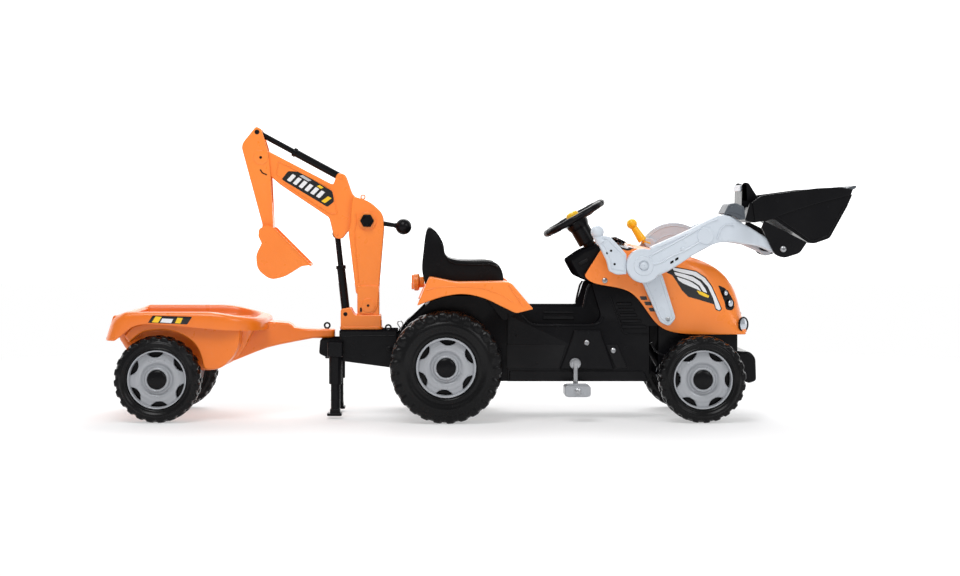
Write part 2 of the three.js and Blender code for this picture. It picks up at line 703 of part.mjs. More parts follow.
function turret() {
  const block = across([
    [-347, 213.4], [-347, 264, 4], [-322, 264, 4], [-316, 240], [-248, 240, 3], [-248, 213.4],
  ], -34, 34);
  const cheeks = cut(block, box(-350, -321, -13, 13, 238, 280));
  const spigot = bar(point(turretAxis.x, 0, 154), point(turretAxis.x, 0, 216), 22, 20);
  const pin = crossBar(-335, 252, -20, 20, 4, 10);
  return join(cheeks, spigot, pin);
}

const mastOutline = [
  [-311, 240.4], [-309, 304], [-328, 455, 8], [-322, 480], [-322, 500], [-318, 544, 8], [-277, 531, 12],
  [-243, 500, 10], [-240, 467, 6], [-254, 304], [-252, 240.4],
];

function mast() {
  const whole = across(mastOutline, -30, 30);
  const fork = box(-350, -220, -20.5, 20.5, 420, 560);
  const web = box(-300, -264, -40, 40, 296, 400);
  const pocket = sides.map(([side]) => web.intersect(box(-320, -240, ...span(side, 24, 40), 290, 410)));
  const bore = crossBar(boomPivot.x, boomPivot.z, -40, 40, 9 + runningGap, 12);
  return cut(whole, fork, ...pocket, bore);
}

function boomBolt() {
  const heads = sides.map(([side]) => crossBar(boomPivot.x, boomPivot.z, ...span(side, 30.4, 42), 19, 6));
  return join(crossBar(boomPivot.x, boomPivot.z, -41, 41, 9, 12), ...heads);
}

const boomOutline = [
  [-571, 642, 14], [-553, 666, 14], [-527, 655], [-366, 571], [-356, 602, 8], [-336, 598, 8], [-318, 546],
  [-262, 514, 18], [-252, 470, 14], [-290, 450, 14], [-329, 457], [-345, 436, 8], [-364, 440, 8], [-376, 490],
  [-495, 570], [-540, 608, 14],
];

function boom() {
  const whole = across(boomOutline, -19, 19);
  const upperFork = box(-380, -334, -10, 10, 574, 620);
  const lowerFork = box(-390, -330, -10, 10, 420, 478);
  const bores = [
    crossBar(boomPivot.x, boomPivot.z, -30, 30, 9 + gap, 12),
    crossBar(stickPivot.x, stickPivot.z, -30, 30, 8 + gap, 12),
  ];
  const pins = [crossBar(-347, 590, -15, 15, 3.5, 10), crossBar(-357, 450, -15, 15, 3.5, 10)];
  return join(cut(whole, upperFork, lowerFork, ...bores), ...pins);
}

function boomLever() {
  const stalk = bar(point(-251, 0, 477), point(-205, 0, 469.5), 6, 10);
  return join(stalk, ball(-192, 0, 467.7, 20));
}

const stickOutline = [
  [-594, 670, 8], [-556, 717, 6], [-543, 708, 4], [-527, 655], [-520, 590], [-514, 466, 6], [-519, 434, 10],
  [-545, 434, 10], [-546, 458, 8], [-540, 470],
];

function stick() {
  const whole = across(stickOutline, -27, 27);
  const slot = box(-610, -500, -20, 20, 520, 730);
  const pivot = crossBar(stickPivot.x, stickPivot.z, -27, 27, 8, 12);
  const rodPin = crossBar(-554, 702, -25, 25, 3.5, 10);
  const bore = crossBar(bucketHinge.x, bucketHinge.z, -40, 40, 6 + gap, 12);
  return cut(join(cut(whole, slot), pivot, rodPin), bore);
}

function digBucket() {
  const shell = across([
    [-512, 466], [-530, 472, 6], [-548, 462, 6], [-549, 444], [-541, 427], [-555, 398, 10],
    [-552, 362, 16], [-519, 336, 16], [-486, 344, 8], [-444, 370], [-421, 373],
  ], -44, 44, 4);
  const room = across([
    [-500, 486], [-580, 486], [-580, 416], [-550, 408], [-547, 366, 14], [-518, 342, 14],
    [-488, 350, 8], [-446, 375.5], [-398, 378],
  ], -39, 39, 4);
  const pin = crossBar(bucketHinge.x, bucketHinge.z, -41, 41, 6, 12);
  return join(cut(shell, room), pin);
}

// A two-part strut: a cylinder pinned at one end and a rod that slides in it.
function strut(cylinderName, rodName, from, to, split, radii) {
  const start = point(from[0], 0, from[1]);
  const end = point(to[0], 0, to[1]);
  const along = end.clone().sub(start).normalize();
  const at = (distance) => start.clone().addScaledVector(along, distance);
  const length = start.distanceTo(end);
  const tube = join(
    bar(at(0), at(split), radii.tube, 12),
    crossBar(...from, -8, 8, radii.tube, 12),
  );
  const hollow = bar(at(20), at(split + 1), radii.rod + runningGap, 12);
  const eye = crossBar(...from, -12, 12, 4.6, 10);
  node(cylinderName, 'black', cut(tube, hollow, eye));
  const rod = join(
    bar(at(split - 30), at(length - radii.eye + 2), radii.rod, 12),
    crossBar(...to, -7, 7, radii.eye, 14),
  );
  node(rodName, 'black', cut(rod, crossBar(...to, -12, 12, radii.eye - 3.5, 12)));
}

function digger() {
  node('backhoe_base', 'black', backhoeBase());
  sides.forEach(([side, label]) => node(`stabiliser_${label}`, 'black', stabiliserLeg(side)));
  node('turret', 'orange', turret());
  node('mast', 'orange', mast());
  node('boom_bolt', 'black', boomBolt());
  node('boom', 'orange', boom());
  node('boom_lever', 'black', boomLever());
  node('stick', 'orange', stick());
  node('dig_bucket', 'orange', digBucket());
  strut('boom_cylinder', 'boom_rod', [-335, 252], [-357, 450], 120, { tube: 10.5, rod: 7, eye: 12 });
  strut('stick_cylinder', 'stick_rod', [-347, 590], [-554, 702], 136, { tube: 9.5, rod: 7, eye: 11 });
}

// ---- Trailer ----
function trailerBody() {
  const plan = (shrink) => {
    const [back, front, wide] = [-910 + shrink, -524 - shrink, 194 - shrink];
    const starboard = [
      [back, -wide + 30, 12], [back + 22, -wide, 12], [-600, -wide, 25], [front - 24, -wide + 46, 25],
      [front, -90, 20],
    ];
    return [...starboard, ...starboard.map(([x, y, r]) => [x, -y, r]).reverse()];
  };
  const rail = upwards(plan(0), 226, 260);
  const railRoom = upwards(plan(6), 232, 270);
  const hullPoints = (shrink) => sides.flatMap(([side]) => [
    [-884 + shrink, side * (128 - shrink), 236], [-545 - shrink, side * (128 - shrink), 236],
    [-884 + shrink, side * (110 - shrink), 196 + shrink], [-850 + shrink, side * (106 - shrink), 152 + shrink],
    [-700, side * (96 - shrink), 118 + shrink], [-650, side * (92 - shrink), 118 + shrink],
    [-590 - shrink, side * (100 - shrink), 150 + shrink],
  ]);
  const hull = wrap(hullPoints(0));
  const hullRoom = wrap([
    ...hullPoints(6),
    ...sides.flatMap(([side]) => [[-878, side * 122, 250], [-551, side * 122, 250]]),
  ]);
  const drawbar = beam([
    { x: -606, z0: 144, z1: 227, y0: -80, y1: 80 }, { x: -526, z0: 171, z1: 240, y0: -46, y1: 46 },
    { x: -465, z0: 183, z1: 226, y0: -26, y1: 26 }, { x: -416, z0: 191.4, z1: 214, y0: -24, y1: 24 },
    { x: -370, z0: 191.4, z1: 214, y0: -24, y1: 24 }, { x: -362, z0: 191.4, z1: 214, y0: -16, y1: 16 },
  ]);
  const hangers = sides.map(([side]) => wrap([
    [-792, side * 60, 88], [-762, side * 60, 88], [-800, side * 60, 150], [-750, side * 60, 150],
    [-792, side * 78, 88], [-762, side * 78, 88], [-800, side * 78, 150], [-750, side * 78, 150],
  ]));
  const axleBore = crossBar(trailerWheel.axleX, trailerWheel.radius, -120, 120, axleRadius + gap, 14);
  const pinBore = bar(point(hitchPin.x, 0, 180), point(hitchPin.x, 0, 225), 5 + runningGap, 12);
  const body = cut(join(rail, hull, ...hangers), railRoom, hullRoom);
  return cut(join(body, cut(drawbar, hullRoom, railRoom)), axleBore, pinBore);
}

function trailer() {
  node('trailer_body', 'orange', trailerBody());
  const reach = trailerWheel.outer - 14;
  node('trailer_axle', 'steel', crossBar(trailerWheel.axleX, trailerWheel.radius, -reach, reach, axleRadius, 14));
  const shank = bar(point(hitchPin.x, 0, 140), point(hitchPin.x, 0, 219), 5, 12);
  const ring = new THREE.TorusGeometry(9, 2.5, 8, 16);
  ring.rotateX(Math.PI / 2);
  ring.translate(hitchPin.x, 0, hitchPin.top + 8);
  node('hitch_pin', 'black', join(shank, solid(ring)));
}

wheels();
drive();
chassis();
steeringParts();
seatParts();
node('hood', 'orange', hood());
loader();
digger();
trailer();

export default group;
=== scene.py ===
import math

import bmesh
import bpy
from mathutils import Matrix, Vector
from mathutils.bvhtree import BVHTree
from mathutils.geometry import delaunay_2d_cdt


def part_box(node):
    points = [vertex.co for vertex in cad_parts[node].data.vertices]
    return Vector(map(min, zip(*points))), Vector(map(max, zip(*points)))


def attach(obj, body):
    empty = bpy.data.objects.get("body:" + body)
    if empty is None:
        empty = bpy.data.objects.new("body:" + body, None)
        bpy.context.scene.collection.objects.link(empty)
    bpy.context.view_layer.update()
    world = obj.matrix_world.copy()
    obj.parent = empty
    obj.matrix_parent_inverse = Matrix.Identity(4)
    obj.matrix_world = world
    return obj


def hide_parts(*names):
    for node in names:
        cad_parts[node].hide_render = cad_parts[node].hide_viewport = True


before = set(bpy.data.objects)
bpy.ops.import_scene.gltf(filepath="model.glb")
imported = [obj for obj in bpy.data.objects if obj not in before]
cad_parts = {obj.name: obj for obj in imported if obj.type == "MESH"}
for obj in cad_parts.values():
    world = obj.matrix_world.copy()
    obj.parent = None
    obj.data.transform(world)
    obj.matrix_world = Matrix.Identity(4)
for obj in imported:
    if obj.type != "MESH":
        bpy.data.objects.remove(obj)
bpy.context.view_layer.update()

MM = 0.001
SIDES = (("right", -1), ("left", 1))
SMOOTH_ANGLE = math.radians(38)
GRAIN = 2200
KNOT_REACH = 24
WHEEL_AXES = (Vector((math.sqrt(0.75), 0, 0.5)), Vector((0, 1, 0)), Vector((-0.5, 0, math.sqrt(0.75))))
TILT_CENTRE = (501, 0, 392)
LOADER_PIVOT = (383.5, 0, 375)
BUCKET_PIVOT = (728, 0, 414)
BOOM_PIVOT = (-281.5, 0, 482.5)
ARM_FACE = 184.2
ARM_TAPER_START = 560
ARM_TAPER = 0.2625
TILT_DISC_FACES = (149, 157.7)
FLOOR_FADE = (1.15, 2.4)
FLOOR_GLOW = 0.4
STUDIO_LIGHTS = (
    ("key", (-0.8, -2.2, 3.4), 70, 1.8), ("fill", (2.4, -2.4, 2.2), 28, 1.6),
    ("back", (0.2, 2.6, 3.0), 70, 2.4),
)


# ---------------------------------------------------------------- materials
def noise(nodes, links, place, scale, detail, output="Fac"):
    texture = nodes.new("ShaderNodeTexNoise")
    texture.inputs["Scale"].default_value = scale
    texture.inputs["Detail"].default_value = detail
    links.new(place, texture.inputs["Vector"])
    return texture.outputs[output]


def spread(nodes, links, value, low, high, start=0.3, end=0.7):
    """value, mostly between start and end, as a number between low and high."""
    ranged = nodes.new("ShaderNodeMapRange")
    ranged.inputs["From Min"].default_value = start
    ranged.inputs["From Max"].default_value = end
    ranged.inputs["To Min"].default_value = low
    ranged.inputs["To Max"].default_value = high
    links.new(value, ranged.inputs["Value"])
    return ranged.outputs["Result"]


def blend_colours(nodes, links, factor, first, second):
    mix = nodes.new("ShaderNodeMix")
    mix.data_type = "RGBA"
    links.new(factor, mix.inputs["Factor"])
    for socket, colour in ((mix.inputs["A"], first), (mix.inputs["B"], second)):
        if isinstance(colour, tuple):
            socket.default_value = (*colour, 1)
        else:
            links.new(colour, socket)
    return mix.outputs["Result"]


def plastic(name, colour, shade, rough, dust=0.04, grain_height=0.06, ripple=0.25, metallic=0.0, coat=0.0,
            specular=0.5):
    """Moulded plastic: slow colour drift, patchy gloss, fine grain and faint ripples."""
    material = bpy.data.materials.new(name)
    material.use_nodes = True
    nodes = material.node_tree.nodes
    links = material.node_tree.links
    shader = nodes["Principled BSDF"]
    place = nodes.new("ShaderNodeTexCoord").outputs["Object"]
    drift = noise(nodes, links, place, 9, 3)
    tone = blend_colours(nodes, links, spread(nodes, links, drift, 0, 1), colour, shade)
    dusty = spread(nodes, links, noise(nodes, links, place, 160, 5), 0, dust, 0.55, 0.8)
    tone = blend_colours(nodes, links, dusty, tone, (0.55, 0.53, 0.5))
    links.new(tone, shader.inputs["Base Color"])
    gloss = noise(nodes, links, place, 38, 4)
    links.new(spread(nodes, links, gloss, rough - 0.04, rough + 0.06), shader.inputs["Roughness"])
    shader.inputs["Metallic"].default_value = metallic
    shader.inputs["Specular IOR Level"].default_value = specular
    shader.inputs["Coat Weight"].default_value = coat
    shader.inputs["Coat Roughness"].default_value = 0.12
    waves = nodes.new("ShaderNodeBump")
    waves.inputs["Strength"].default_value = ripple
    waves.inputs["Distance"].default_value = 0.0012
    links.new(noise(nodes, links, place, 14, 2), waves.inputs["Height"])
    fine = nodes.new("ShaderNodeBump")
    fine.inputs["Strength"].default_value = grain_height
    fine.inputs["Distance"].default_value = 0.0003
    links.new(noise(nodes, links, place, GRAIN, 3), fine.inputs["Height"])
    links.new(waves.outputs["Normal"], fine.inputs["Normal"])
    links.new(fine.outputs["Normal"], shader.inputs["Normal"])
    return material


def metal(name, colour, rough, scratches=420):
    """Zinc-plated steel: stretched scratches and a slightly cloudy shine."""
    material = bpy.data.materials.new(name)
    material.use_nodes = True
    nodes = material.node_tree.nodes
    links = material.node_tree.links
    shader = nodes["Principled BSDF"]
    shader.inputs["Metallic"].default_value = 1.0
    place = nodes.new("ShaderNodeTexCoord").outputs["Object"]
    stretched = nodes.new("ShaderNodeMapping")
    stretched.inputs["Scale"].default_value = (1, 0.12, 1)
    links.new(place, stretched.inputs["Vector"])
    lines = noise(nodes, links, stretched.outputs["Vector"], scratches, 4)
    cloud = noise(nodes, links, place, 60, 3)
    darker = tuple(c * 0.7 for c in colour)
    links.new(blend_colours(nodes, links, spread(nodes, links, cloud, 0, 1), colour, darker),
              shader.inputs["Base Color"])
    links.new(spread(nodes, links, lines, rough - 0.08, rough + 0.14), shader.inputs["Roughness"])
    bump = nodes.new("ShaderNodeBump")
    bump.inputs["Strength"].default_value = 0.12
    bump.inputs["Distance"].default_value = 0.0002
    links.new(lines, bump.inputs["Height"])
    links.new(bump.outputs["Normal"], shader.inputs["Normal"])
    return material


ORANGE = plastic("orange_moulding", (0.98, 0.26, 0.034), (0.95, 0.235, 0.028), 0.3, 0.03, coat=0.1)
TRAILER_ORANGE = plastic("trailer_orange", (0.88, 0.2, 0.012), (0.84, 0.178, 0.01), 0.3, 0.03, coat=0.2)
BLACK = plastic("black_moulding", (0.004, 0.004, 0.005), (0.007, 0.007, 0.008), 0.22, 0.002, specular=0.12)
SATIN_BLACK = plastic("satin_black", (0.006, 0.006, 0.007), (0.011, 0.011, 0.012), 0.36, 0.003, 0.2,
                      specular=0.14)
TYRE = plastic("tyre_moulding", (0.004, 0.004, 0.0045), (0.007, 0.007, 0.0075), 0.24, 0.002, specular=0.16)
SILVER = plastic("silver_moulding", (0.4, 0.415, 0.44), (0.36, 0.375, 0.4), 0.3, 0.02, metallic=0.2)
GREY = plastic("pale_grey_moulding", (0.61, 0.665, 0.73), (0.57, 0.625, 0.69), 0.3, 0.02, coat=0.1)
YELLOW = plastic("yellow_moulding", (0.98, 0.58, 0.009), (0.95, 0.52, 0.007), 0.3, 0.02)
# Dark blue-grey plastic; on the loader crossbar this colour is painted shade over a light grey part.
SLATE_AND_SHADE = plastic("slate_and_painted_shade", (0.075, 0.088, 0.105), (0.06, 0.07, 0.085), 0.34, 0.01)
MATT_BLACK = plastic("matt_black", (0.004, 0.004, 0.005), (0.007, 0.007, 0.008), 0.8, 0.0, specular=0.0)
LABEL_BLACK = plastic("label_black", (0.006, 0.006, 0.007), (0.01, 0.01, 0.011), 0.2, 0.003, ripple=0.05)
LABEL_WHITE = plastic("label_white", (0.84, 0.85, 0.87), (0.78, 0.79, 0.81), 0.25, 0.01, ripple=0.05)
LABEL_SILVER = plastic("label_silver", (0.5, 0.52, 0.55), (0.42, 0.44, 0.47), 0.25, 0.01, ripple=0.05)
LABEL_YELLOW = plastic("label_yellow", (0.95, 0.6, 0.02), (0.9, 0.55, 0.015), 0.25, 0.01, ripple=0.05)
LAMP = plastic("lamp_silver", (0.62, 0.66, 0.72), (0.45, 0.49, 0.55), 0.15, 0.01, metallic=0.6, coat=0.6)
STEEL = metal("zinc_steel", (0.52, 0.53, 0.55), 0.3)


# ---------------------------------------------------------------- mesh helpers
def finish_mesh(name, bm, material, body, replaced=(), smooth=SMOOTH_ANGLE, second=None):
    """Turns a bmesh into a named piece with its material, riding on its body."""
    bmesh.ops.remove_doubles(bm, verts=bm.verts, dist=1e-6)
    bmesh.ops.dissolve_degenerate(bm, edges=bm.edges, dist=1e-6)
    bmesh.ops.recalc_face_normals(bm, faces=bm.faces)
    mesh = bpy.data.meshes.new(name)
    bm.to_mesh(mesh)
    bm.free()
    mesh.shade_smooth()
    mesh.set_sharp_from_angle(angle=smooth)
    mesh.materials.append(material)
    if second:
        mesh.materials.append(second)
    piece = bpy.data.objects.new(name, mesh)
    bpy.context.scene.collection.objects.link(piece)
    flats = piece.modifiers.new("flat_faces", "WEIGHTED_NORMAL")
    flats.keep_sharp = True
    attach(piece, body)
    if replaced:
        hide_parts(*replaced)
    return piece


def merged(*meshes):
    """Several bmeshes as one."""
    whole = meshes[0]
    for other in meshes[1:]:
        scratch = bpy.data.meshes.new("scratch")
        other.to_mesh(scratch)
        other.free()
        whole.from_mesh(scratch)
        bpy.data.meshes.remove(scratch)
    return whole


def rounded(points, steps=6):
    """(x, z) or (x, z, corner radius) points in mm as a dense closed outline in metres."""
    dense = []
    count = len(points)
    for i, spot in enumerate(points):
        here = Vector(spot[:2]) * MM
        radius = (spot[2] if len(spot) > 2 else 0) * MM
        if radius <= 0:
            dense.append(here)
            continue
        before = Vector(points[i - 1][:2]) * MM
        after = Vector(points[(i + 1) % count][:2]) * MM
        reach = min(radius, (before - here).length * 0.49, (after - here).length * 0.49)
        start = here + (before - here).normalized() * reach
        end = here + (after - here).normalized() * reach
        for k in range(steps + 1):
            t = k / steps
            dense.append(start * (1 - t) ** 2 + here * 2 * t * (1 - t) + end * t ** 2)
    return dense


def area(outline):
    return 0.5 * sum(a.x * b.y - b.x * a.y for a, b in zip(outline, outline[1:] + outline[:1]))


def shrunk(outline, distance):
    """An outline moved inwards, each point along the line between its neighbours' normals."""
    turn = 1 if area(outline) > 0 else -1
    moved = []
    count = len(outline)
    for i, here in enumerate(outline):
        a = (here - outline[i - 1]).normalized()
        b = (outline[(i + 1) % count] - here).normalized()
        normal_a = Vector((-a.y, a.x)) * turn
        normal_b = Vector((-b.y, b.x)) * turn
        middle = (normal_a + normal_b).normalized()
        moved.append(here + middle * (distance / max(middle.dot(normal_a), 0.5)))
    for i in range(count):
        for reach in range(2, min(KNOT_REACH, count - 2)):
            first = (moved[i - 1], moved[i])
            last = (moved[(i + reach - 1) % count], moved[(i + reach) % count])
            spot = crossing(*first, *last)
            if spot is not None:
                for k in range(reach):
                    moved[(i + k) % count] = spot.copy()
    return moved


def crossing(a, b, c, d):
    """Where segment a-b crosses segment c-d, or None."""
    first, second = b - a, d - c
    square = first.x * second.y - first.y * second.x
    if abs(square) < 1e-16:
        return None
    along = ((c.x - a.x) * second.y - (c.y - a.y) * second.x) / square
    back = ((c.x - a.x) * first.y - (c.y - a.y) * first.x) / square
    return a + first * along if 0 < along < 1 and 0 < back < 1 else None


def slab(outline, low, high, radius=2.0, steps=3, plane="xz", bm=None):
    """An outline drawn from low to high (mm) with rounded edges. plane xz runs across, xy up, yz along."""
    bm = bm or bmesh.new()
    low, high, radius = low * MM, high * MM, radius * MM
    radius = min(radius, (high - low) * 0.49)
    levels = [(low + radius * (1 - math.cos(math.pi / 2 * k / steps)),
               radius * (1 - math.sin(math.pi / 2 * k / steps))) for k in range(steps + 1)]
    levels += [(low + high - depth, inward) for depth, inward in reversed(levels)]
    rings = []
    for depth, inward in levels:
        ring = []
        for spot in shrunk(outline, inward) if inward > 0 else outline:
            place = {
                "xz": (spot.x, depth, spot.y),
                "xy": (spot.x, spot.y, depth),
                "yz": (depth, spot.x, spot.y),
            }[plane]
            ring.append(bm.verts.new(place))
        rings.append(ring)
    skin(bm, rings)
    bm.faces.new(rings[0])
    bm.faces.new(rings[-1])
    return bm


def skin(bm, rings, closed=True):
    """Quads between neighbouring rings of vertices."""
    for first, second in zip(rings, rings[1:]):
        count = len(first)
        for i in range(count if closed else count - 1):
            j = (i + 1) % count
            bm.faces.new((first[i], first[j], second[j], second[i]))


def turned(profile, centre, axis="y", segments=64, bm=None, closed=False):
    """A (radius, height) profile in mm turned about an axis through centre (mm)."""
    bm = bm or bmesh.new()
    middle = Vector(centre) * MM
    frames = {
        "y": (Vector((1, 0, 0)), Vector((0, 0, 1)), Vector((0, 1, 0))),
        "x": (Vector((0, 1, 0)), Vector((0, 0, 1)), Vector((1, 0, 0))),
        "z": (Vector((1, 0, 0)), Vector((0, 1, 0)), Vector((0, 0, 1))),
    }
    across, up, along = frames[axis] if isinstance(axis, str) else axis
    rings = []
    for radius, height in profile:
        if radius <= 0:
            rings.append([bm.verts.new(middle + along * height * MM)])
            continue
        ring = []
        for k in range(segments):
            turn = 2 * math.pi * k / segments
            outward = across * math.cos(turn) + up * math.sin(turn)
            spot = middle + outward * radius * MM + along * height * MM
            ring.append(bm.verts.new(spot))
        rings.append(ring)
    pairs = list(zip(rings, rings[1:])) + ([(rings[-1], rings[0])] if closed else [])
    for first, second in pairs:
        for k in range(segments):
            n = (k + 1) % segments
            if len(first) == 1:
                bm.faces.new((first[0], second[n], second[k]))
            elif len(second) == 1:
                bm.faces.new((first[k], first[n], second[0]))
            else:
                bm.faces.new((first[k], first[n], second[n], second[k]))
    return bm


def basis(along):
    """Two directions square to along, and along itself."""
    along = along.normalized()
    across = along.orthogonal().normalized()
    return across, along.cross(across), along


def rod(start, end, radius, end_radius=None, edge=1.0, segments=32, bm=None):
    """A round bar between two points in mm, with softened ends."""
    a, b = Vector(start), Vector(end)
    length = (b - a).length
    last = radius if end_radius is None else end_radius
    edge = min(edge, radius * 0.6, last * 0.6, length * 0.4)
    profile = [(0, 0), (radius - edge, 0), (radius - edge * 0.3, edge * 0.3), (radius, edge),
               (last, length - edge), (last - edge * 0.3, length - edge * 0.3), (last - edge, length),
               (0, length)]
    return turned(profile, a, basis(b - a), segments, bm)


def dome(centre, radius, squash=1.0, axis="z", segments=40, bm=None):
    steps = 18
    profile = []
    for k in range(steps + 1):
        turn = math.pi * k / steps - math.pi / 2
        profile.append((max(radius * math.cos(turn), 0 if k in (0, steps) else 0.01),
                        radius * math.sin(turn) * squash))
    profile[0] = (0, profile[0][1])
    profile[-1] = (0, profile[-1][1])
    return turned(profile, centre, axis, segments, bm)


def tube(points, radius, closed=False, segments=10, bm=None):
    """A round wire along points in metres."""
    bm = bm or bmesh.new()
    rings = []
    count = len(points)
    for i, here in enumerate(points):
        before = points[i - 1] if closed or i else here
        after = points[(i + 1) % count] if closed or i < count - 1 else here
        along = (after - before).normalized()
        reference = Vector((0, 1, 0)) if abs(along.y) < 0.9 else Vector((1, 0, 0))
        across = along.cross(reference).normalized()
        up = along.cross(across)
        rings.append([
            bm.verts.new(here + (across * math.cos(t) + up * math.sin(t)) * radius * MM)
            for t in (2 * math.pi * k / segments for k in range(segments))
        ])
    skin(bm, rings + ([rings[0]] if closed else []))
    if not closed:
        bm.faces.new(rings[0])
        bm.faces.new(rings[-1])
    return bm


def bolt(name, centre, side, body, radius=6.0, height=3.0, material=STEEL):
    """A pan-head screw with a round recess in its head, standing out of a side."""
    x, y, z = centre
    profile = [(0, 0), (radius, 0), (radius, height * 0.35), (radius * 0.8, height * 0.8),
               (radius * 0.4, height),
               (radius * 0.25, height * 0.55), (0, height * 0.5)]
    bm = turned([(r, side * h) for r, h in profile], (x, y, z), "y", 28)
    return finish_mesh(name, bm, material, body)


def centre_of(node):
    low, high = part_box(node)
    return (low + high) / 2 / MM


def soften(node, material, width=1.2, segments=2):
    """A CAD node that stays: smooth shading, softened edges and its material."""
    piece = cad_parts[node]
    mesh = piece.data
    mesh.shade_smooth()
    mesh.set_sharp_from_angle(angle=math.radians(32))
    mesh.materials.clear()
    mesh.materials.append(material)
    bevel = piece.modifiers.new("soft_edges", "BEVEL")
    bevel.width = width * MM
    bevel.segments = segments
    bevel.limit_method = "ANGLE"
    bevel.angle_limit = math.radians(35)
    bevel.harden_normals = False
    return piece


def step(edge0, edge1, value):
    """A smooth climb from 0 at edge0 to 1 at edge1."""
    t = min(max((value - edge0) / (edge1 - edge0), 0), 1)
    return t * t * (3 - 2 * t)


# ---------------------------------------------------------------- wheels
LUG_DEPTH = 3.6
RING_SEGMENTS = 256
SIDEWALL = [
    (0, 10), (0.03, 5.5), (0.08, 3.6), (0.13, 2.8), (0.18, 4), (0.25, 4.4), (0.33, 2.4), (0.4, 0.7),
    (0.47, 0), (0.54, 0.6), (0.61, 2.4), (0.67, 4.4), (0.74, 5.2), (0.82, 6.2), (0.89, 7.8), (0.95, 10.5),
    (0.985, 14), (1, 19),
]


def tyre(name, node, side, body, lugs):
    """A blow-moulded tyre: a bulging ring on its wall and shallow lugs that alternate across the tread."""
    low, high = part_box(node)
    x, _, z = centre_of(node)
    outer = (high.z - low.z) / 2 / MM
    half = (high.y - low.y) / 2 / MM
    middle = (high.y + low.y) / 2 / MM
    rim_edge = 72 if outer > 120 else 71
    foot = outer - LUG_DEPTH
    right = [(rim_edge + (foot - rim_edge) * share, half - depth) for share, depth in SIDEWALL]
    last = right[-1][1]
    right += [(foot, last * (1 - k / 7)) for k in range(1, 8)]
    profile = right + [(r, -w) for r, w in reversed(right[:-1])]
    shoulder = rim_edge + (foot - rim_edge) * 0.66
    bm = bmesh.new()
    rings = []
    for r, w in profile:
        ring = []
        for k in range(RING_SEGMENTS):
            turn = 2 * math.pi * k / RING_SEGMENTS
            lean = abs(w) / half * 0.3
            phase = (turn + math.pi / 2) * lugs / (2 * math.pi) + (0.5 if w < 0 else 0) + lean
            across = abs((phase % 1) - 0.5) * 2
            raised = 1 - step(0.48, 0.66, across)
            radius = r + LUG_DEPTH * raised * step(shoulder, foot, r) * step(-0.5, 3.5, abs(w))
            bulge = 3.0 * raised * step(shoulder, shoulder + 8, r) * step(half - 24, half - 10, abs(w))
            out = w + math.copysign(bulge, w) if w else w
            place = Vector((x + radius * math.cos(turn), middle + out * side, z + radius * math.sin(turn)))
            ring.append(bm.verts.new(place * MM))
        rings.append(ring)
    skin(bm, rings + [rings[0]])
    return finish_mesh(name, bm, TYRE, body, [node], smooth=math.radians(60))


def rim(name, node, side, body, first_window):
    """A dished silver wheel disc with a thin bright lip and six dark half-moon windows."""
    low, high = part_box(node)
    x, _, z = centre_of(node)
    outer = (high.z - low.z) / 2 / MM
    face = (high.y if side > 0 else -low.y) / MM
    back = (low.y if side > 0 else -high.y) / MM
    shape = [
        (9, face - 3), (24, face - 3), (25, face - 1.6), (27.5, face - 1.4), (29, face - 2.6), (30, face - 8),
        (32, face - 11.5), (35, face - 12), (37, face - 10.6), (40, face - 8.4), (46, face - 6.8),
        (52, face - 7.6), (56, face - 9), (65.4, face - 9.6), (66, face - 6), (66.6, face - 1),
        (67.6, face - 0.3), (outer - 1, face - 0.4), (outer, face - 2),
    ]
    radii = []
    for (r0, h0), (r1, h1) in zip(shape, shape[1:]):
        pieces = max(1, round((r1 - r0) / 1.4))
        radii += [(r0 + (r1 - r0) * k / pieces, h0 + (h1 - h0) * k / pieces) for k in range(pieces)]
    radii.append(shape[-1])
    bm = bmesh.new()
    rings = []
    for r, h in radii:
        ring = []
        for k in range(RING_SEGMENTS):
            turn = 2 * math.pi * k / RING_SEGMENTS
            sunk = side * (h - 11 * window(r, turn - first_window))
            ring.append(bm.verts.new(Vector((x + r * math.cos(turn), sunk, z + r * math.sin(turn))) * MM))
        rings.append(ring)
    for r in (outer, 9):
        rings.append([
            bm.verts.new(Vector((x + r * math.cos(t), side * back, z + r * math.sin(t))) * MM)
            for t in (2 * math.pi * k / RING_SEGMENTS for k in range(RING_SEGMENTS))
        ])
    skin(bm, rings + [rings[0]])
    hub = Vector((x, 0, z)) * MM
    for patch in bm.faces:
        spot = patch.calc_center_median() - hub
        r = math.hypot(spot.x, spot.z) / MM
        if window(r, math.atan2(spot.z, spot.x) - first_window) > 0.3:
            patch.material_index = 1
    piece = finish_mesh(name, bm, SILVER, body, [node], smooth=math.radians(50), second=BLACK)
    cap = [(0, 5), (8, 4.8), (15, 4), (20, 2.4), (23, 0), (24, -2), (24, -4), (0, -4)]
    bm = turned([(r, side * (face - 2 + h)) for r, h in cap], (x, 0, z), "y", 48)
    finish_mesh(name + "_hub_cap", bm, BLACK, body)
    return piece


def window(radius, turn):
    """How deep the half-moon windows are at a place on the disc, from 0 to 1."""
    sixth = math.pi / 3
    offset = ((turn + sixth / 2) % sixth) - sixth / 2
    sideways = abs(math.sin(offset)) * radius
    lower = 53 + 0.034 * sideways ** 2
    return step(lower - 1, lower + 1, radius) * (1 - step(65, 66, radius)) * (1 - step(18, 20, sideways))


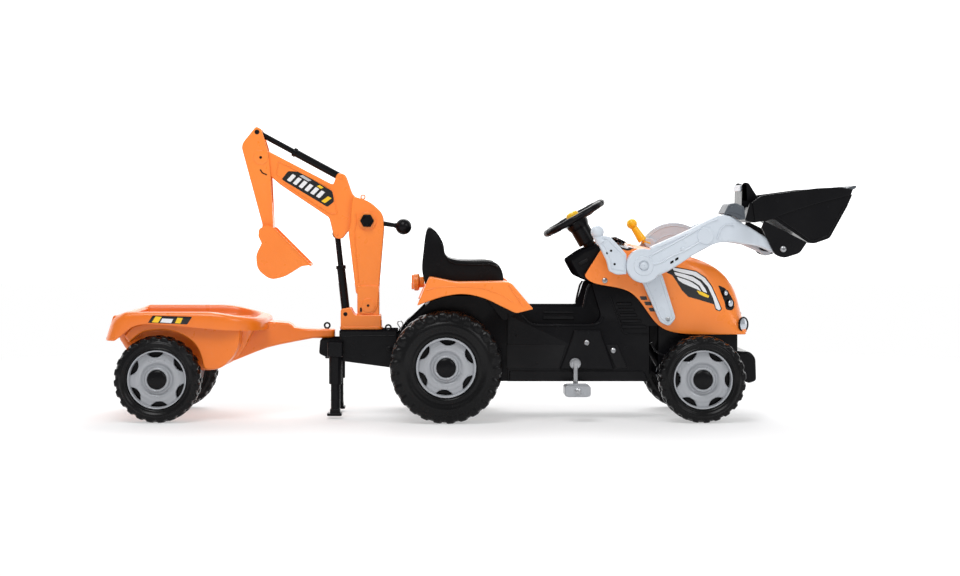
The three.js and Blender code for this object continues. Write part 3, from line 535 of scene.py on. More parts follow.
def wheels():
    bodies = {
        ("rear", "right"): "rear_drive", ("rear", "left"): "rear_wheel_left",
        ("front", "right"): "front_wheel_right", ("front", "left"): "front_wheel_left",
        ("trailer", "right"): "trailer_wheel_right", ("trailer", "left"): "trailer_wheel_left",
    }
    first_windows = {"rear": math.radians(26), "front": 0, "trailer": math.radians(34)}
    for (place, label), body in bodies.items():
        side = dict(SIDES)[label]
        lugs = 26 if place == "rear" else 24
        tyre(f"{place}_tyre_{label}_moulded", f"{place}_tyre_{label}", side, body, lugs)
        rim(f"{place}_rim_{label}_moulded", f"{place}_rim_{label}", side, body, first_windows[place])


# ---------------------------------------------------------------- labels
def flat_label(name, outline, target, side, material, body, lift=0.5, spacing=4.0):
    """A thin label laid on a target mesh's side, following its curve."""
    tree = BVHTree.FromObject(target, bpy.context.evaluated_depsgraph_get())
    to_target = target.matrix_world.inverted()
    xs = [p.x for p in outline]
    zs = [p.y for p in outline]
    inner = shrunk(outline, 1.0 * MM)
    spots = list(outline)
    gap = spacing * MM
    for i in range(int((max(xs) - min(xs)) / gap) + 1):
        for j in range(int((max(zs) - min(zs)) / gap) + 1):
            spot = Vector((min(xs) + (i + 0.5) * gap, min(zs) + (j + 0.5) * gap))
            if inside(spot, inner):
                spots.append(spot)
    edges = [(i, (i + 1) % len(outline)) for i in range(len(outline))]
    spots, _, faces, *_ = delaunay_2d_cdt(spots, edges, [], 1, 1e-6)
    bm = bmesh.new()
    verts = []
    for spot in spots:
        origin = to_target @ Vector((spot.x, side * 0.4, spot.y))
        hit, *_ = tree.ray_cast(origin, Vector((0, -side, 0)))
        hit = hit if hit else Vector((spot.x, side * 0.13, spot.y))
        verts.append(bm.verts.new(hit + Vector((0, side * lift * MM, 0))))
    for face in faces:
        bm.faces.new([verts[i] for i in face])
    back = bmesh.ops.extrude_face_region(bm, geom=list(bm.faces))
    moved = [v for v in back["geom"] if isinstance(v, bmesh.types.BMVert)]
    bmesh.ops.translate(bm, verts=moved, vec=(0, -side * (lift + 0.6) * MM, 0))
    return finish_mesh(name, bm, material, body)


def inside(spot, outline):
    found = False
    for a, b in zip(outline, outline[1:] + outline[:1]):
        if (a.y > spot.y) != (b.y > spot.y):
            if spot.x < (b.x - a.x) * (spot.y - a.y) / (b.y - a.y) + a.x:
                found = not found
    return found


# ---------------------------------------------------------------- shells
def sheet_shell(name, rows, material, body, replaced, thickness=4.0, levels=2):
    """A moulded shell from rows of half-section points (x, y, z) in mm, mirrored across the centre plane."""
    bm = bmesh.new()
    grid = []
    for row in rows:
        right = [bm.verts.new(Vector((x, -y, z)) * MM) for x, y, z in reversed(row) if y > 0.01]
        left = [bm.verts.new(Vector(spot) * MM) for spot in row]
        grid.append(right + left)
    skin(bm, grid, closed=False)
    piece = finish_mesh(name, bm, material, body, replaced, smooth=math.radians(50))
    smooth = piece.modifiers.new("smooth", "SUBSURF")
    smooth.levels = levels
    smooth.render_levels = levels
    wall = piece.modifiers.new("wall", "SOLIDIFY")
    wall.thickness = thickness * MM
    wall.offset = -1
    return piece


def hood_rows():
    """Ribs from the rear of the hood over its nose, each running down to a point on the lower edge."""
    ribs = [
        ((306, 443), (247, 350)), ((312, 442), (252, 342)), ((352, 429), (268, 331)),
        ((410, 417), (296, 326)), ((462, 406), (330, 321)), ((506, 398), (358, 312)),
        ((549, 384), (380, 291)), ((581, 367), (402, 258)), ((607, 341), (426, 226)),
        ((625, 309), (462, 210)), ((635, 272), (520, 207)), ((642, 248), (575, 207)),
        ((645, 232), (618, 207)), ((646, 214), (636, 207)),
    ]
    rows = []
    for i, ((top_x, top_z), (low_x, low_z)) in enumerate(ribs):
        nose = step(5, 11, i)
        width = 127 - 12 * nose
        shoulder = 96 - 6 * nose
        back = 9 * nose
        side_x = top_x + (low_x - top_x) * (0.16 + 0.1 * nose)
        side_z = top_z + (low_z - top_z) * (0.16 + 0.1 * nose)
        rows.append([
            (top_x, 0, top_z), (top_x - back * 0.1, shoulder * 0.45, top_z - 1),
            (top_x - back * 0.4, shoulder * 0.8, top_z - 3), (top_x - back, shoulder, top_z - 7 + 3 * nose),
            (side_x + 4 * nose, (shoulder + width) / 2 + 4, (top_z + side_z) / 2 + 4 * (1 - nose)),
            (side_x - 10 * nose, width, side_z),
            (side_x + (low_x - side_x) * 0.35, width + 3, side_z + (low_z - side_z) * 0.35),
            (side_x + (low_x - side_x) * 0.75, width + 3, side_z + (low_z - side_z) * 0.75),
            (side_x + (low_x - side_x) * 0.93, width + 3, side_z + (low_z - side_z) * 0.93),
            (low_x, width + 2, low_z),
        ])
    return rows


SIDE_LAMP_LABEL = (
    ("ground", LABEL_BLACK, 0.5, 2, [
        (445, 357.4), (454, 365), (461, 372), (491, 366.5), (518, 361), (541, 346), (557, 324.6),
        (570, 295), (581, 269), (576, 263), (565.4, 267), (561.5, 280), (527.4, 290.6), (498.6, 298.5),
        (483, 314), (470, 335), (459, 351)]),
    ("outer", LABEL_WHITE, 0.75, 2, [
        (459, 369.7), (491, 364.4), (517, 358.7), (539, 344), (555, 323), (568, 294.5), (578.5, 269.7),
        (574.6, 265), (566.7, 269.7), (559, 296), (546, 323), (530, 340), (509, 351), (485.5, 356),
        (462, 362.6)]),
    ("middle", LABEL_WHITE, 0.75, 2, [
        (463, 359), (485.5, 354), (509, 347), (527.4, 335), (539, 319.4), (544.5, 307.6), (534, 311.5),
        (525, 326), (509, 336.4), (488, 344.3), (467, 351)]),
    ("inner", LABEL_WHITE, 0.75, 1, [
        (470, 347), (488, 341.7), (506.5, 333.8), (522, 323.3), (530, 311.5), (519.6, 316.8), (504, 323.3),
        (485.5, 331), (474, 339)]),
    ("glow", LABEL_YELLOW, 0.8, 1, [
        (518.3, 314), (532.7, 310), (549.7, 301), (547, 295.8), (535.3, 299.8), (524.8, 305)]),
)
VENT_CORNERS = ((-10, 4), (6, 4), (9, -5), (-6, -5))


def hood():
    shell = sheet_shell("hood_moulded", hood_rows(), ORANGE, "hood", ["hood"])
    bpy.context.view_layer.update()
    for label, side in SIDES:
        for part, material, lift, corner, spots in SIDE_LAMP_LABEL:
            shape = rounded([(x, z, corner) for x, z in spots], 3)
            flat_label(f"side_lamp_{part}_{label}", shape, shell, side, material, "hood", lift, 3.0)
        intake = rounded([(306, 440, 2), (322, 444, 4), (350, 430, 4), (378, 416, 2), (352, 410, 6),
                          (330, 416, 4),
                          (314, 430, 3)])
        flat_label(f"intake_label_{label}", intake, shell, side, LABEL_BLACK, "hood", 0.5, 3.0)
        gleam = rounded([(318, 438, 2), (326, 440, 2), (352, 426, 2), (366, 418, 1), (350, 415, 2),
                         (334, 420, 2)])
        flat_label(f"intake_gleam_{label}", gleam, shell, side, LABEL_WHITE, "hood", 0.8, 3.0)
        for k, (x, z) in enumerate(((390, 296), (401, 283), (412, 268))):
            slot = rounded([(x + a, z + b, 2) for a, b in VENT_CORNERS])
            flat_label(f"vent_{k}_{label}", slot, shell, side, LABEL_BLACK, "hood", 0.4, 3.0)
        bolt(f"hood_screw_{label}", (296, side * 131, 338), side, "hood", 6.5)
    headlamps()


def lamp(name, centre, facing, radius, body):
    """A round lamp: black ring and a domed silver lens."""
    axis = basis(Vector(facing))
    bm = turned([(radius * 0.86, -3), (radius, -2), (radius * 1.02, 1), (radius * 0.95, 3),
                 (radius * 0.86, 2.4)],
                centre, axis, 40, closed=True)
    finish_mesh(name + "_ring", bm, BLACK, body)
    lens = [(radius * 0.88, -2), (radius * 0.86, 0.8), (radius * 0.6, 2.6), (radius * 0.3, 3.6), (0, 4)]
    bm = turned([(0, -2)] + lens, centre, axis, 40)
    finish_mesh(name + "_lens", bm, LAMP, body)


def headlamps():
    shell = bpy.data.objects["hood_moulded"]
    for label, side in SIDES:
        lamp(f"front_lamp_{label}", (634, side * 110, 231), (0.7, side * 0.71, 0.02), 18.5, "hood")
        recess = rounded([(572.7, 326.5, 4), (591.2, 318.6, 5), (604.3, 302.8, 6), (613.5, 284.4, 5),
                          (613.5, 271.2, 4),
                          (605.6, 264.7, 4), (591.2, 267.3, 5), (588.5, 284.4, 4), (580.6, 305.4, 5)])
        flat_label(f"lamp_panel_{label}", recess, shell, side, LABEL_BLACK, "hood", 0.6, 3.0)
        lamp(f"upper_lamp_{label}", (591, side * 112, 307), (0.55, side * 0.83, 0.1), 8, "hood")
        lamp(f"middle_lamp_{label}", (603, side * 109, 282), (0.6, side * 0.8, 0.05), 10.5, "hood")
    grille = bmesh.new()
    for k in range(5):
        z = 236 + 17 * k
        x = 646 - 0.0046 * (z - 214) ** 2
        slab(rounded([(-46, z - 4, 2), (46, z - 4, 2), (46, z + 4, 2), (-46, z + 4, 2)]),
             x - 7, x + 1.2, 1, plane="yz", bm=grille)
    finish_mesh("nose_grille", grille, BLACK, "hood")


def rear_fender():
    centre = rounded([(-154, 283, 4), (-132, 334, 8), (62, 333, 10), (114, 276, 5), (84, 268, 5),
                      (44, 281, 20),
                      (8, 300, 30), (-46, 312, 30), (-101, 303, 20)])
    bm = slab(centre, -124, 124, 2)
    cheek = rounded([(-157, 281, 4), (-128, 349, 6), (-108, 345, 10), (-66, 336, 16), (64, 338, 12),
                     (119, 273, 4),
                     (78, 263, 5), (46, 278, 20), (5, 299, 30), (-46, 311, 34), (-99, 303, 30)], 8)
    for label, side in SIDES:
        low, high = sorted((side * 122, side * 212))
        slab(cheek, low, high, 3, steps=5, bm=bm)
    piece = finish_mesh("rear_fender_moulded", bm, ORANGE, "chassis", ["rear_fender"])
    for label, side in SIDES:
        crease = [Vector((x, side * 0.2122, z)) for x, z in ((0.062, 0.329), (0.078, 0.304), (0.094, 0.281))]
        finish_mesh(f"fender_rib_{label}", tube(crease, 1.6), ORANGE, "chassis")
        ridge = [Vector((x * MM, side * 0.2118, z * MM)) for x, z in
                 ((-136, 318), (-112, 324), (-62, 327), (-8, 324), (36, 311), (70, 290))]
        finish_mesh(f"fender_ridge_{label}", tube(ridge, 1.4), ORANGE, "chassis")
    return piece


def seat():
    profile = [
        (50, 331, 74), (54.6, 338, 80), (52, 356, 83), (45, 373, 86), (30, 385, 88), (0, 386.5, 90),
        (-30, 385.5, 90), (-66, 388, 90), (-86, 394, 89), (-95, 406, 88), (-100, 424, 86), (-106, 441, 82),
        (-117, 463, 74), (-129, 472, 72), (-136, 462, 78), (-140.5, 430, 84), (-143, 400, 87),
        (-148, 364.5, 88), (-138, 331, 88),
    ]
    bm = bmesh.new()
    grid = []
    for i, (x, z, half) in enumerate(profile):
        dish = 6 * step(2, 5, i) * (1 - step(7, 9, i))
        lean = 8 * step(8, 10, i) * (1 - step(11, 13, i))
        droop = 12 * step(10, 12, i) * (1 - step(13, 16, i))
        row = []
        for share in (0, 0.35, 0.65, 0.85, 1.0):
            row.append((x + lean * share ** 3, half * share,
                        z - dish * (1 - share ** 2) - droop * share ** 3))
        front = i < 9
        edge_x = x + lean
        row.append((edge_x, half + 3, z - 7 if front else z - 2))
        row.append((edge_x, half + 2, 331 if front else z - 5))
        right = [bm.verts.new(Vector((a, -y, c)) * MM) for a, y, c in reversed(row) if y > 0.01]
        left = [bm.verts.new(Vector(spot) * MM) for spot in row]
        grid.append(right + left)
    skin(bm, grid, closed=False)
    last = len(profile) - 1
    for edge in (0, -1):
        low, high = 8, last
        while high - low > 1:
            spots = (low, low + 1, high - 1, high) if high - low > 2 else (low, low + 1, high)
            bm.faces.new([grid[i][edge] for i in spots])
            low, high = low + 1, high - 1
    piece = finish_mesh("seat_moulded", bm, BLACK, "seat", ["seat"], smooth=math.radians(60))
    smooth = piece.modifiers.new("smooth", "SUBSURF")
    smooth.levels = 2
    smooth.render_levels = 2
    bm = bmesh.new()
    for k in range(3):
        y = -30 + 30 * k
        points = [Vector((x, y * MM, z)) for x,
                  z in ((-0.07, 0.381), (-0.03, 0.382), (0.01, 0.3835), (0.03, 0.381))]
        tube(points, 2.0, bm=bm)
    finish_mesh("seat_ribs", bm, BLACK, "seat")
    bead = [(-97, 424), (-92, 402), (-78, 383), (-64, 377), (-20, 375), (20, 376), (38, 370)]
    back_line = [(-120, 446), (-124, 400), (-126, 352)]
    edges = bmesh.new()
    for _, side in SIDES:
        tube([Vector((x, side * 91.6, z)) * MM for x, z in bead], 2.0, bm=edges)
        tube([Vector((x, side * (79 + 0.1 * (446 - z)), z)) * MM for x, z in back_line], 2.0, bm=edges)
    finish_mesh("seat_edges", edges, BLACK, "seat")
    grip = turned([(0, -168), (12, -168), (19, -166.5), (21.5, -164), (21.5, -156), (19, -153), (14, -152),
                   (13, -141),
                   (0, -140)], (0, 0, 330), "x", 40)
    wing = slab(rounded([(-6, 312, 3), (6, 312, 3), (8, 330, 4), (6, 348, 3), (-6, 348, 3), (-8, 330, 4)]),
                -172, -164, 2, plane="yz")
    merged(grip, wing)
    finish_mesh("seat_lock_knob_moulded", grip, ORANGE, "seat_knob", ["seat_lock_knob"])
    return piece


# ---------------------------------------------------------------- chassis
def on_both_sides(name, outlines, low, high, material, body, radius=1.5, replaced=()):
    """Raised plates of the same outlines on both sides, from low to high (mm) out from the centre plane."""
    bm = bmesh.new()
    for points in outlines:
        shape = rounded(points)
        for _, side in SIDES:
            a, b = sorted((side * low, side * high))
            slab(shape, a, b, radius, plane="xz", bm=bm)
    return finish_mesh(name, bm, material, body, replaced)


def line_on_sides(name, spots, out, radius, material, body, closed=False):
    """A raised bead along (x, z) spots in mm on both sides, out mm from the centre plane."""
    bm = bmesh.new()
    for _, side in SIDES:
        tube([Vector((x, side * out, z)) * MM for x, z in spots], radius, closed, bm=bm)
    return finish_mesh(name, bm, material, body)


def quiet_ledges(piece, along=-0.3):
    """Gives a black piece's upward and rearward faces a matt finish, so they stay dark at a low angle."""
    mesh = piece.data
    mesh.materials.append(MATT_BLACK)
    for face in mesh.polygons:
        if face.normal.z > 0.35 or face.normal.x < along:
            face.material_index = len(mesh.materials) - 1


def chassis_tub():
    """The chassis tub with its rear upper corner trimmed to the wheel's arc."""
    bm = bmesh.new()
    bm.from_mesh(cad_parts["chassis_tub"].data)
    corner = Vector((-207, 0, 205)) * MM
    cut = bmesh.ops.bisect_plane(bm, geom=list(bm.verts) + list(bm.edges) + list(bm.faces), plane_co=corner,
                                 plane_no=(-1, 0, 1), clear_outer=True)
    rim_edges = [e for e in cut["geom_cut"] if isinstance(e, bmesh.types.BMEdge)]
    bmesh.ops.triangle_fill(bm, edges=rim_edges, use_beauty=True)
    piece = finish_mesh("chassis_tub_moulded", bm, BLACK, "chassis", ["chassis_tub"], smooth=math.radians(32))
    soft = piece.modifiers.new("soft_edges", "BEVEL")
    soft.width = 2.2 * MM
    soft.segments = 3
    soft.limit_method = "ANGLE"
    soft.angle_limit = math.radians(35)
    quiet_ledges(piece)


def chassis():
    chassis_tub()
    on_both_sides("sill", [[(66, 94, 4), (404, 94, 6), (392, 119, 6), (66, 119, 3)]], 109, 114.5, BLACK,
                  "chassis", 2.5)
    on_both_sides("battery_cover", [[(60, 124, 3), (186, 124, 3), (203, 181, 3), (60, 183, 3)]], 110, 112.8,
                  SATIN_BLACK, "chassis", 1)
    on_both_sides("crank_case", [[(188, 122, 4), (320, 122, 4), (292, 200, 8), (288, 218, 5), (222, 218, 5),
                                  (216, 196, 8)]], 108, 118, BLACK, "chassis", 4)
    on_both_sides("crank_case_brace", [[(324, 124, 2), (352, 126, 3), (328, 182, 3), (300, 182, 3)]], 108,
                  115.5,
                  SATIN_BLACK, "chassis", 2)
    slats = [(326, 361, 281), (329, 367, 267), (333, 373, 254), (336, 384, 240), (339, 396, 226)]
    on_both_sides("louvres", [[(a, z - 4, 2), (b + 4, z - 4, 2), (b, z + 4, 2), (a, z + 4, 2)] for a, b,
                              z in slats],
                  108, 116.5, BLACK, "chassis", 2.5)
    line_on_sides("louvre_frame", [(312, 296), (318, 279), (331, 244), (343, 211), (352, 208), (404, 208)],
                  112, 2.4,
                  BLACK, "chassis")
    footwell = [(80, 272), (92, 258), (110, 239), (124, 231), (140, 229), (272, 230), (286, 235), (294, 250)]
    on_both_sides("arch_lip", [[(10, 290, 4), (60, 284, 4), (100, 270, 4), (96, 250, 4), (50, 240, 4)]],
                  100, 111,
                  BLACK, "chassis", 2)
    line_on_sides("footwell_rim", footwell, 112, 2.6, BLACK, "chassis")
    on_both_sides("footwell_ribs", [[(150, 256, 2), (226, 256, 2), (226, 262, 2), (150, 262, 2)],
                                    [(150, 241, 2), (226, 241, 2), (226, 250, 2), (150, 250, 2)]],
                  74, 80.5, BLACK, "chassis", 1.5)
    line_on_sides("riser_edge", [(246, 273), (249, 290), (256, 318), (262, 329)], 110, 2.6, BLACK, "chassis")
    line_on_sides("front_arch", [(412, 186), (421, 168), (436, 157), (460, 153), (500, 153)], 97.5, 2.6,
                  BLACK,
                  "chassis")
    for label, side in SIDES:
        bolt(f"crank_case_bolt_{label}", (253.5, side * 117.5, 187), side, "chassis", 6.5, 3.5)
        bolt(f"brace_bolt_{label}", (318, side * 115, 168), side, "chassis", 6.5, 3.5)
        bolt(f"battery_bolt_{label}", (133, side * 112.4, 137), side, "chassis", 3.2, 1.5, SATIN_BLACK)
        bolt(f"flank_bolt_{label}", (84, side * 111.5, 204), side, "chassis", 3.4, 1.6, SATIN_BLACK)
        bush = [(7.6, 0), (13, 0), (14, -2), (14, -8), (7.6, -8)]
        bm = turned([(r, side * (h + 126)) for r, h in bush], (225, 0, 137), "y", 40, closed=True)
        finish_mesh(f"crank_bush_{label}", bm, STEEL, "chassis")
    dashboard()
    bumper()
    soften("front_axle_beam", STEEL, 1.5)


def dashboard():
    outline = rounded([(213, 385, 6), (247, 409, 10), (298, 429, 5), (304, 400, 3), (304, 338, 3),
                       (262, 333, 6),
                       (234, 346, 8), (220, 371, 6)])
    bm = slab(outline, -96, 96, 7, steps=5)
    quiet_ledges(finish_mesh("dashboard_moulded", bm, BLACK, "chassis", ["dashboard"]))
    collar = turned([(15.6, -2), (25, -2), (27, 2), (26, 8), (22, 12), (15.6, 13)],
                    (232 + 0.5 * 94, 0, 489 - 0.866 * 94),
                    basis(Vector((-0.5, 0, 0.866))), 48, closed=True)
    finish_mesh("column_collar", collar, BLACK, "chassis")
    on_both_sides("dash_switches", [[(238, 372, 3), (262, 384, 3), (258, 392, 3), (234, 380, 3)]], 90, 98.5,
                  SATIN_BLACK,
                  "chassis", 2)


def bumper():
    outline = rounded([(623, 165, 2), (655, 163, 8), (668, 148, 8), (670, 92, 8), (652, 86, 5), (626, 96, 4)])
    bm = slab(outline, -92, 92, 7, steps=5)
    plate = rounded([(-52, 104, 5), (52, 104, 5), (52, 142, 5), (-52, 142, 5)])
    slab(plate, 664, 671, 3, plane="yz", bm=bm)
    finish_mesh("bumper_moulded", bm, BLACK, "chassis", ["front_bumper"])
    for label, side in SIDES:
        stripe = [Vector((672.2, side * y, z)) * MM for y, z in ((20, 110), (34, 136))]
        finish_mesh(f"bumper_rib_{label}", tube(stripe, 2), SATIN_BLACK, "chassis")


# ---------------------------------------------------------------- drive, steering and small fittings
def drive():
    for node in ("rear_axle", "crankshaft", "rear_sprocket", "drive_chain", "trailer_axle"):
        soften(node, STEEL, 1.0)
    for label, side in SIDES:
        x, y, z = centre_of(f"pedal_{label}")
        outline = rounded([(x - 31, z - 13, 7), (x + 31, z - 13, 7), (x + 31, z + 13, 7),
                           (x - 31, z + 13, 7)])
        low, high = sorted((side * 142, side * 202))
        bm = slab(outline, low, high, 4, steps=4)
        for k in range(3):
            for face in (-1, 1):
                spot = y + (k - 1) * 18
                ends = (Vector((x - 24, spot, z + face * 13.2)) * MM,
                        Vector((x + 24, spot, z + face * 13.2)) * MM)
                tube(ends, 1.6, bm=bm)
        finish_mesh(f"pedal_moulded_{label}", bm, SILVER, f"pedal_{label}", [f"pedal_{label}"])
        cap = turned([(0, 0), (8, 0), (8, 2), (5, 4), (0, 4.5)], (x, side * 202, z),
                     basis(Vector((0, side, 0))), 32)
        finish_mesh(f"pedal_cap_{label}", cap, STEEL, "crank")
        arm = rod((225, side * 127, 137), (225, side * 134, 137), 10.5, segments=36)
        finish_mesh(f"crank_head_{label}", arm, STEEL, "crank")


def steering():
    soften("steering_shaft", BLACK, 1.2)
    soften("tie_rod", STEEL, 1.0)
    for label, _ in SIDES:
        soften(f"knuckle_{label}", STEEL, 1.5)
    bm = bmesh.new()
    ring = [wheel_spot(78 * math.cos(t), 78 * math.sin(t),
                       0) for t in (2 * math.pi * k / 96 for k in range(96))]
    tube(ring, 8, closed=True, segments=20, bm=bm)
    for k in range(12):
        turn = 2 * math.pi * k / 12 + 0.26
        grip = [wheel_spot(78 * math.cos(turn + d), 78 * math.sin(turn + d), 0) for d in (-0.14, -0.07, 0,
                                                                                          0.07, 0.14)]
        tube(grip, 8.6, segments=16, bm=bm)
    centre = wheel_spot(0, 0, 0) / MM
    hub = [(0, -30), (24, -30), (28, -20), (30, -4), (29, 1), (26, 5), (18.6, 6), (18.2, 3), (0, 3)]
    turned(hub, centre, WHEEL_AXES, 64, bm)
    turned([(0, -70), (23, -70), (24, -68), (24, -29), (18, -26), (0, -26)], centre, WHEEL_AXES, 48, bm)
    for k in range(3):
        turn = 2 * math.pi * k / 3
        along = (math.cos(turn), math.sin(turn))
        spoke_rings = []
        for reach, half, depth, height in ((24, 17, 5, -8), (42, 13, 4.5, -9), (60, 12, 4, -5),
                                           (76, 15, 4, -1)):
            ring_verts = []
            for i in range(16):
                t = 2 * math.pi * i / 16
                wide = half * math.copysign(abs(math.cos(t)) ** 0.6, math.cos(t))
                tall = depth * math.copysign(abs(math.sin(t)) ** 0.6, math.sin(t))
                spot = wheel_spot(along[0] * reach - along[1] * wide, along[1] * reach + along[0] * wide,
                                  height + tall)
                ring_verts.append(bm.verts.new(spot))
            spoke_rings.append(ring_verts)
        skin(bm, spoke_rings)
    finish_mesh("steering_wheel_moulded", bm, BLACK, "steering", ["steering_wheel"])
    horn = [(0, -8), (9, -8), (9, 0), (16.5, 0.5), (17, 3), (16.4, 10), (13.5, 14.5), (8, 16.4), (0, 16.8)]
    bm = turned(horn, centre, WHEEL_AXES, 56)
    finish_mesh("horn_moulded", bm, YELLOW, "horn", ["horn_button"])


def wheel_spot(forwards, left, up):
    """A spot in the steering wheel's own plane, in metres."""
    front, side, axis = WHEEL_AXES
    return (Vector((232, 0, 489)) + front * forwards + side * left + axis * up) * MM


# ---------------------------------------------------------------- front loader
def oval(y0, y1, z0, z1, x, corner, steps=5):
    """A rounded rectangle across the vehicle at x, as points in mm."""
    corner = min(corner, (y1 - y0) * 0.49, (z1 - z0) * 0.49)
    ring = []
    for quarter, (cy, cz) in enumerate(((y1 - corner, z1 - corner), (y0 + corner, z1 - corner),
                                        (y0 + corner, z0 + corner), (y1 - corner, z0 + corner))):
        for k in range(steps + 1):
            turn = math.pi / 2 * (quarter + k / steps)
            ring.append((x, cy + corner * math.cos(turn), cz + corner * math.sin(turn)))
    return ring


def arm_stations(side):
    """(x, bottom, top, inner, outer) along a loader arm, from the pivot to the bucket."""
    far = [
        (606, 428, 485, 145, 169), (627, 427, 476, 130, 152), (648, 425, 466, 114, 134),
        (668, 421, 455, 101, 117), (684, 414, 446, 99, 115.4), (700, 407, 437, 98, 115),
        (722, 398, 431, 98, 115), (734, 396.5, 430, 98, 115),
    ]
    if side > 0:
        return [
            (400, 343, 416, 160, 184), (420, 350, 421, 160, 184), (445, 360, 426, 160, 184),
            (470, 375, 434, 160, 184), (500, 392, 446, 160, 184), (526, 405, 458, 160, 184),
            (548, 415, 468, 160, 184), (562, 420, 474, 158, 182), (576, 424, 479, 155, 179),
            (592, 427, 482, 150, 174),
        ] + far
    return [
        (400, 343, 420, 160, 184), (420, 352, 429, 160, 184), (445, 363, 440, 160, 184),
        (470, 379, 451, 160, 184), (500, 399, 465, 160, 184), (526, 413, 479, 160, 184),
        (548, 425, 490, 160, 184), (562, 429.5, 495, 158, 182), (576, 431, 497.5, 155, 179),
        (592, 431.5, 495, 150, 174), (606, 431, 489, 145, 169),
    ] + far[1:]


def loader_arm(label, side):
    bm = bmesh.new()
    rings = []
    stations = arm_stations(side)
    for x, z0, z1, y0, y1 in stations:
        low, high = sorted((side * y0, side * y1))
        rings.append([bm.verts.new(Vector(spot) * MM) for spot in oval(low, high, z0, z1, x, 7)])
    skin(bm, rings)
    bm.faces.new(rings[0])
    bm.faces.new(rings[-1])
    boss = [(10, 158), (39, 158), (41, 160.5), (41, 182), (39, 184.4), (24, 184.4), (22.5, 186),
            (13, 186), (12, 184), (10, 184)]
    turned([(r, side * y) for r, y in boss], LOADER_PIVOT, "y", 72, bm, closed=True)
    eye = [(6.3, 98), (17.5, 98), (19, 99.5), (19, 113.5), (17.5, 115), (6.3, 115)]
    turned([(r, side * y) for r, y in eye], BUCKET_PIVOT, "y", 48, bm, closed=True)
    if side > 0:
        lug = [(8.3, 160), (21, 160), (22, 161), (22, 184.5), (8.3, 184.5)]
        turned([(r, side * y) for r, y in lug], TILT_CENTRE, "y", 48, bm, closed=True)
    piece = finish_mesh(f"loader_arm_moulded_{label}", bm, GREY, "loader_arms", [f"loader_arm_{label}"])
    drop = {own[0]: near[2] - own[2] for own, near in zip(stations, arm_stations(-1))}

    def sunk(x):
        return drop[min(drop, key=lambda known: abs(known - x))]

    def on_face(spots, corner):
        return [Vector((p.x, side * 0.1842, p.y)) for p in rounded([(x, z - sunk(x), corner) for x,
                                                                    z in spots])]

    trim = bmesh.new()
    pill = [(395, 397), (439, 420), (483, 445), (521, 467), (539, 460), (541, 448), (526, 438), (483, 412),
            (450, 398), (417, 379), (401, 379)]
    tube(on_face(pill, 9), 2.2, closed=True, segments=10, bm=trim)
    edge = [(420, 421), (445, 432), (470, 443.5), (500, 457.5), (526, 471), (548, 482), (560, 486)]
    tube([Vector((x, side * ARM_FACE, z - sunk(x))) * MM for x, z in edge], 1.8, bm=trim)
    hump = [(559, 440), (566, 462), (581, 474), (600, 472)]
    ridge = [(x, side * (ARM_FACE + 0.2 - ARM_TAPER * max(x - ARM_TAPER_START, 0)), z - sunk(x)) for x,
             z in hump]
    tube([Vector(spot) * MM for spot in ridge], 1.6, bm=trim)
    disc_spot = (531, 0, 446 - sunk(531))
    turned([(r, side * y) for r, y in ((15, 183), (19, 183), (20, 184.5), (19, 186), (9, 186.3), (0, 186.3))],
           disc_spot, "y", 44, trim)
    nub = [(0, 183), (5, 183), (5, 186), (3.5, 187.2), (0, 187.4)]
    turned([(r, side * y) for r, y in nub], (477, 0, 415 - sunk(477)), "y", 24, trim)
    finish_mesh(f"loader_arm_beads_{label}", trim, GREY, "loader_arms")
    slots = bmesh.new()
    low, high = sorted((side * 183.4, side * 184.9))
    for x, z in ((450.7, 384), (462.3, 391.3)):
        slot = rounded([(x - 4, z - 5, 2), (x + 4, z - 1, 2), (x + 4, z + 5, 2), (x - 4, z + 1, 2)])
        slab(slot, low, high, 0.3, bm=slots)
    finish_mesh(f"loader_arm_slots_{label}", slots, SATIN_BLACK, "loader_arms")
    bolt(f"bucket_bolt_{label}", (728, side * 123.4, 414), side, "loader_bucket", 8, 5)
    return piece


def loader_posts():
    outline = rounded([(352, 367, 16), (375, 405, 16), (409.5, 393, 14), (434, 350, 6), (466, 248, 8),
                       (450, 228, 8),
                       (428, 238, 8), (386, 332, 6)])
    for label, side in SIDES:
        low, high = sorted((side * 134, side * 144.4))
        bm = slab(outline, low, high, 3, steps=4)
        foot = [(0, 100), (5, 100), (5, 113.5), (7.5, 113.5), (7.5, 136), (0, 136)]
        turned([(r, side * y) for r, y in foot], (446, 0, 246), "y", 32, bm)
        groove = [Vector((x, side * 144.2, z)) * MM for x, z in
                  ((392, 340), (432, 246), (446, 236), (458, 250), (428, 346))]
        tube(groove, 1.4, bm=bm)
        finish_mesh(f"loader_post_moulded_{label}", bm, GREY, "chassis", [f"loader_post_{label}"])
        pin = [(0, 144), (18.5, 144), (20, 145.5), (20, 158.2), (18.5, 159.6), (9.4, 159.6), (9.4, 186.5),
               (8.5, 187.4), (0, 187.4)]
        bm = turned([(r, side * y) for r, y in pin], LOADER_PIVOT, "y", 48)
        finish_mesh(f"loader_pin_moulded_{label}", bm, GREY, "chassis", [f"loader_pin_{label}"])
        bolt(f"post_bolt_{label}", (446, side * 144.2, 246), side, "chassis", 5.5, 3)
        bolt(f"loader_pivot_screw_{label}", (383.5, side * 187, 375), side, "chassis", 6.5, 2.5, GREY)


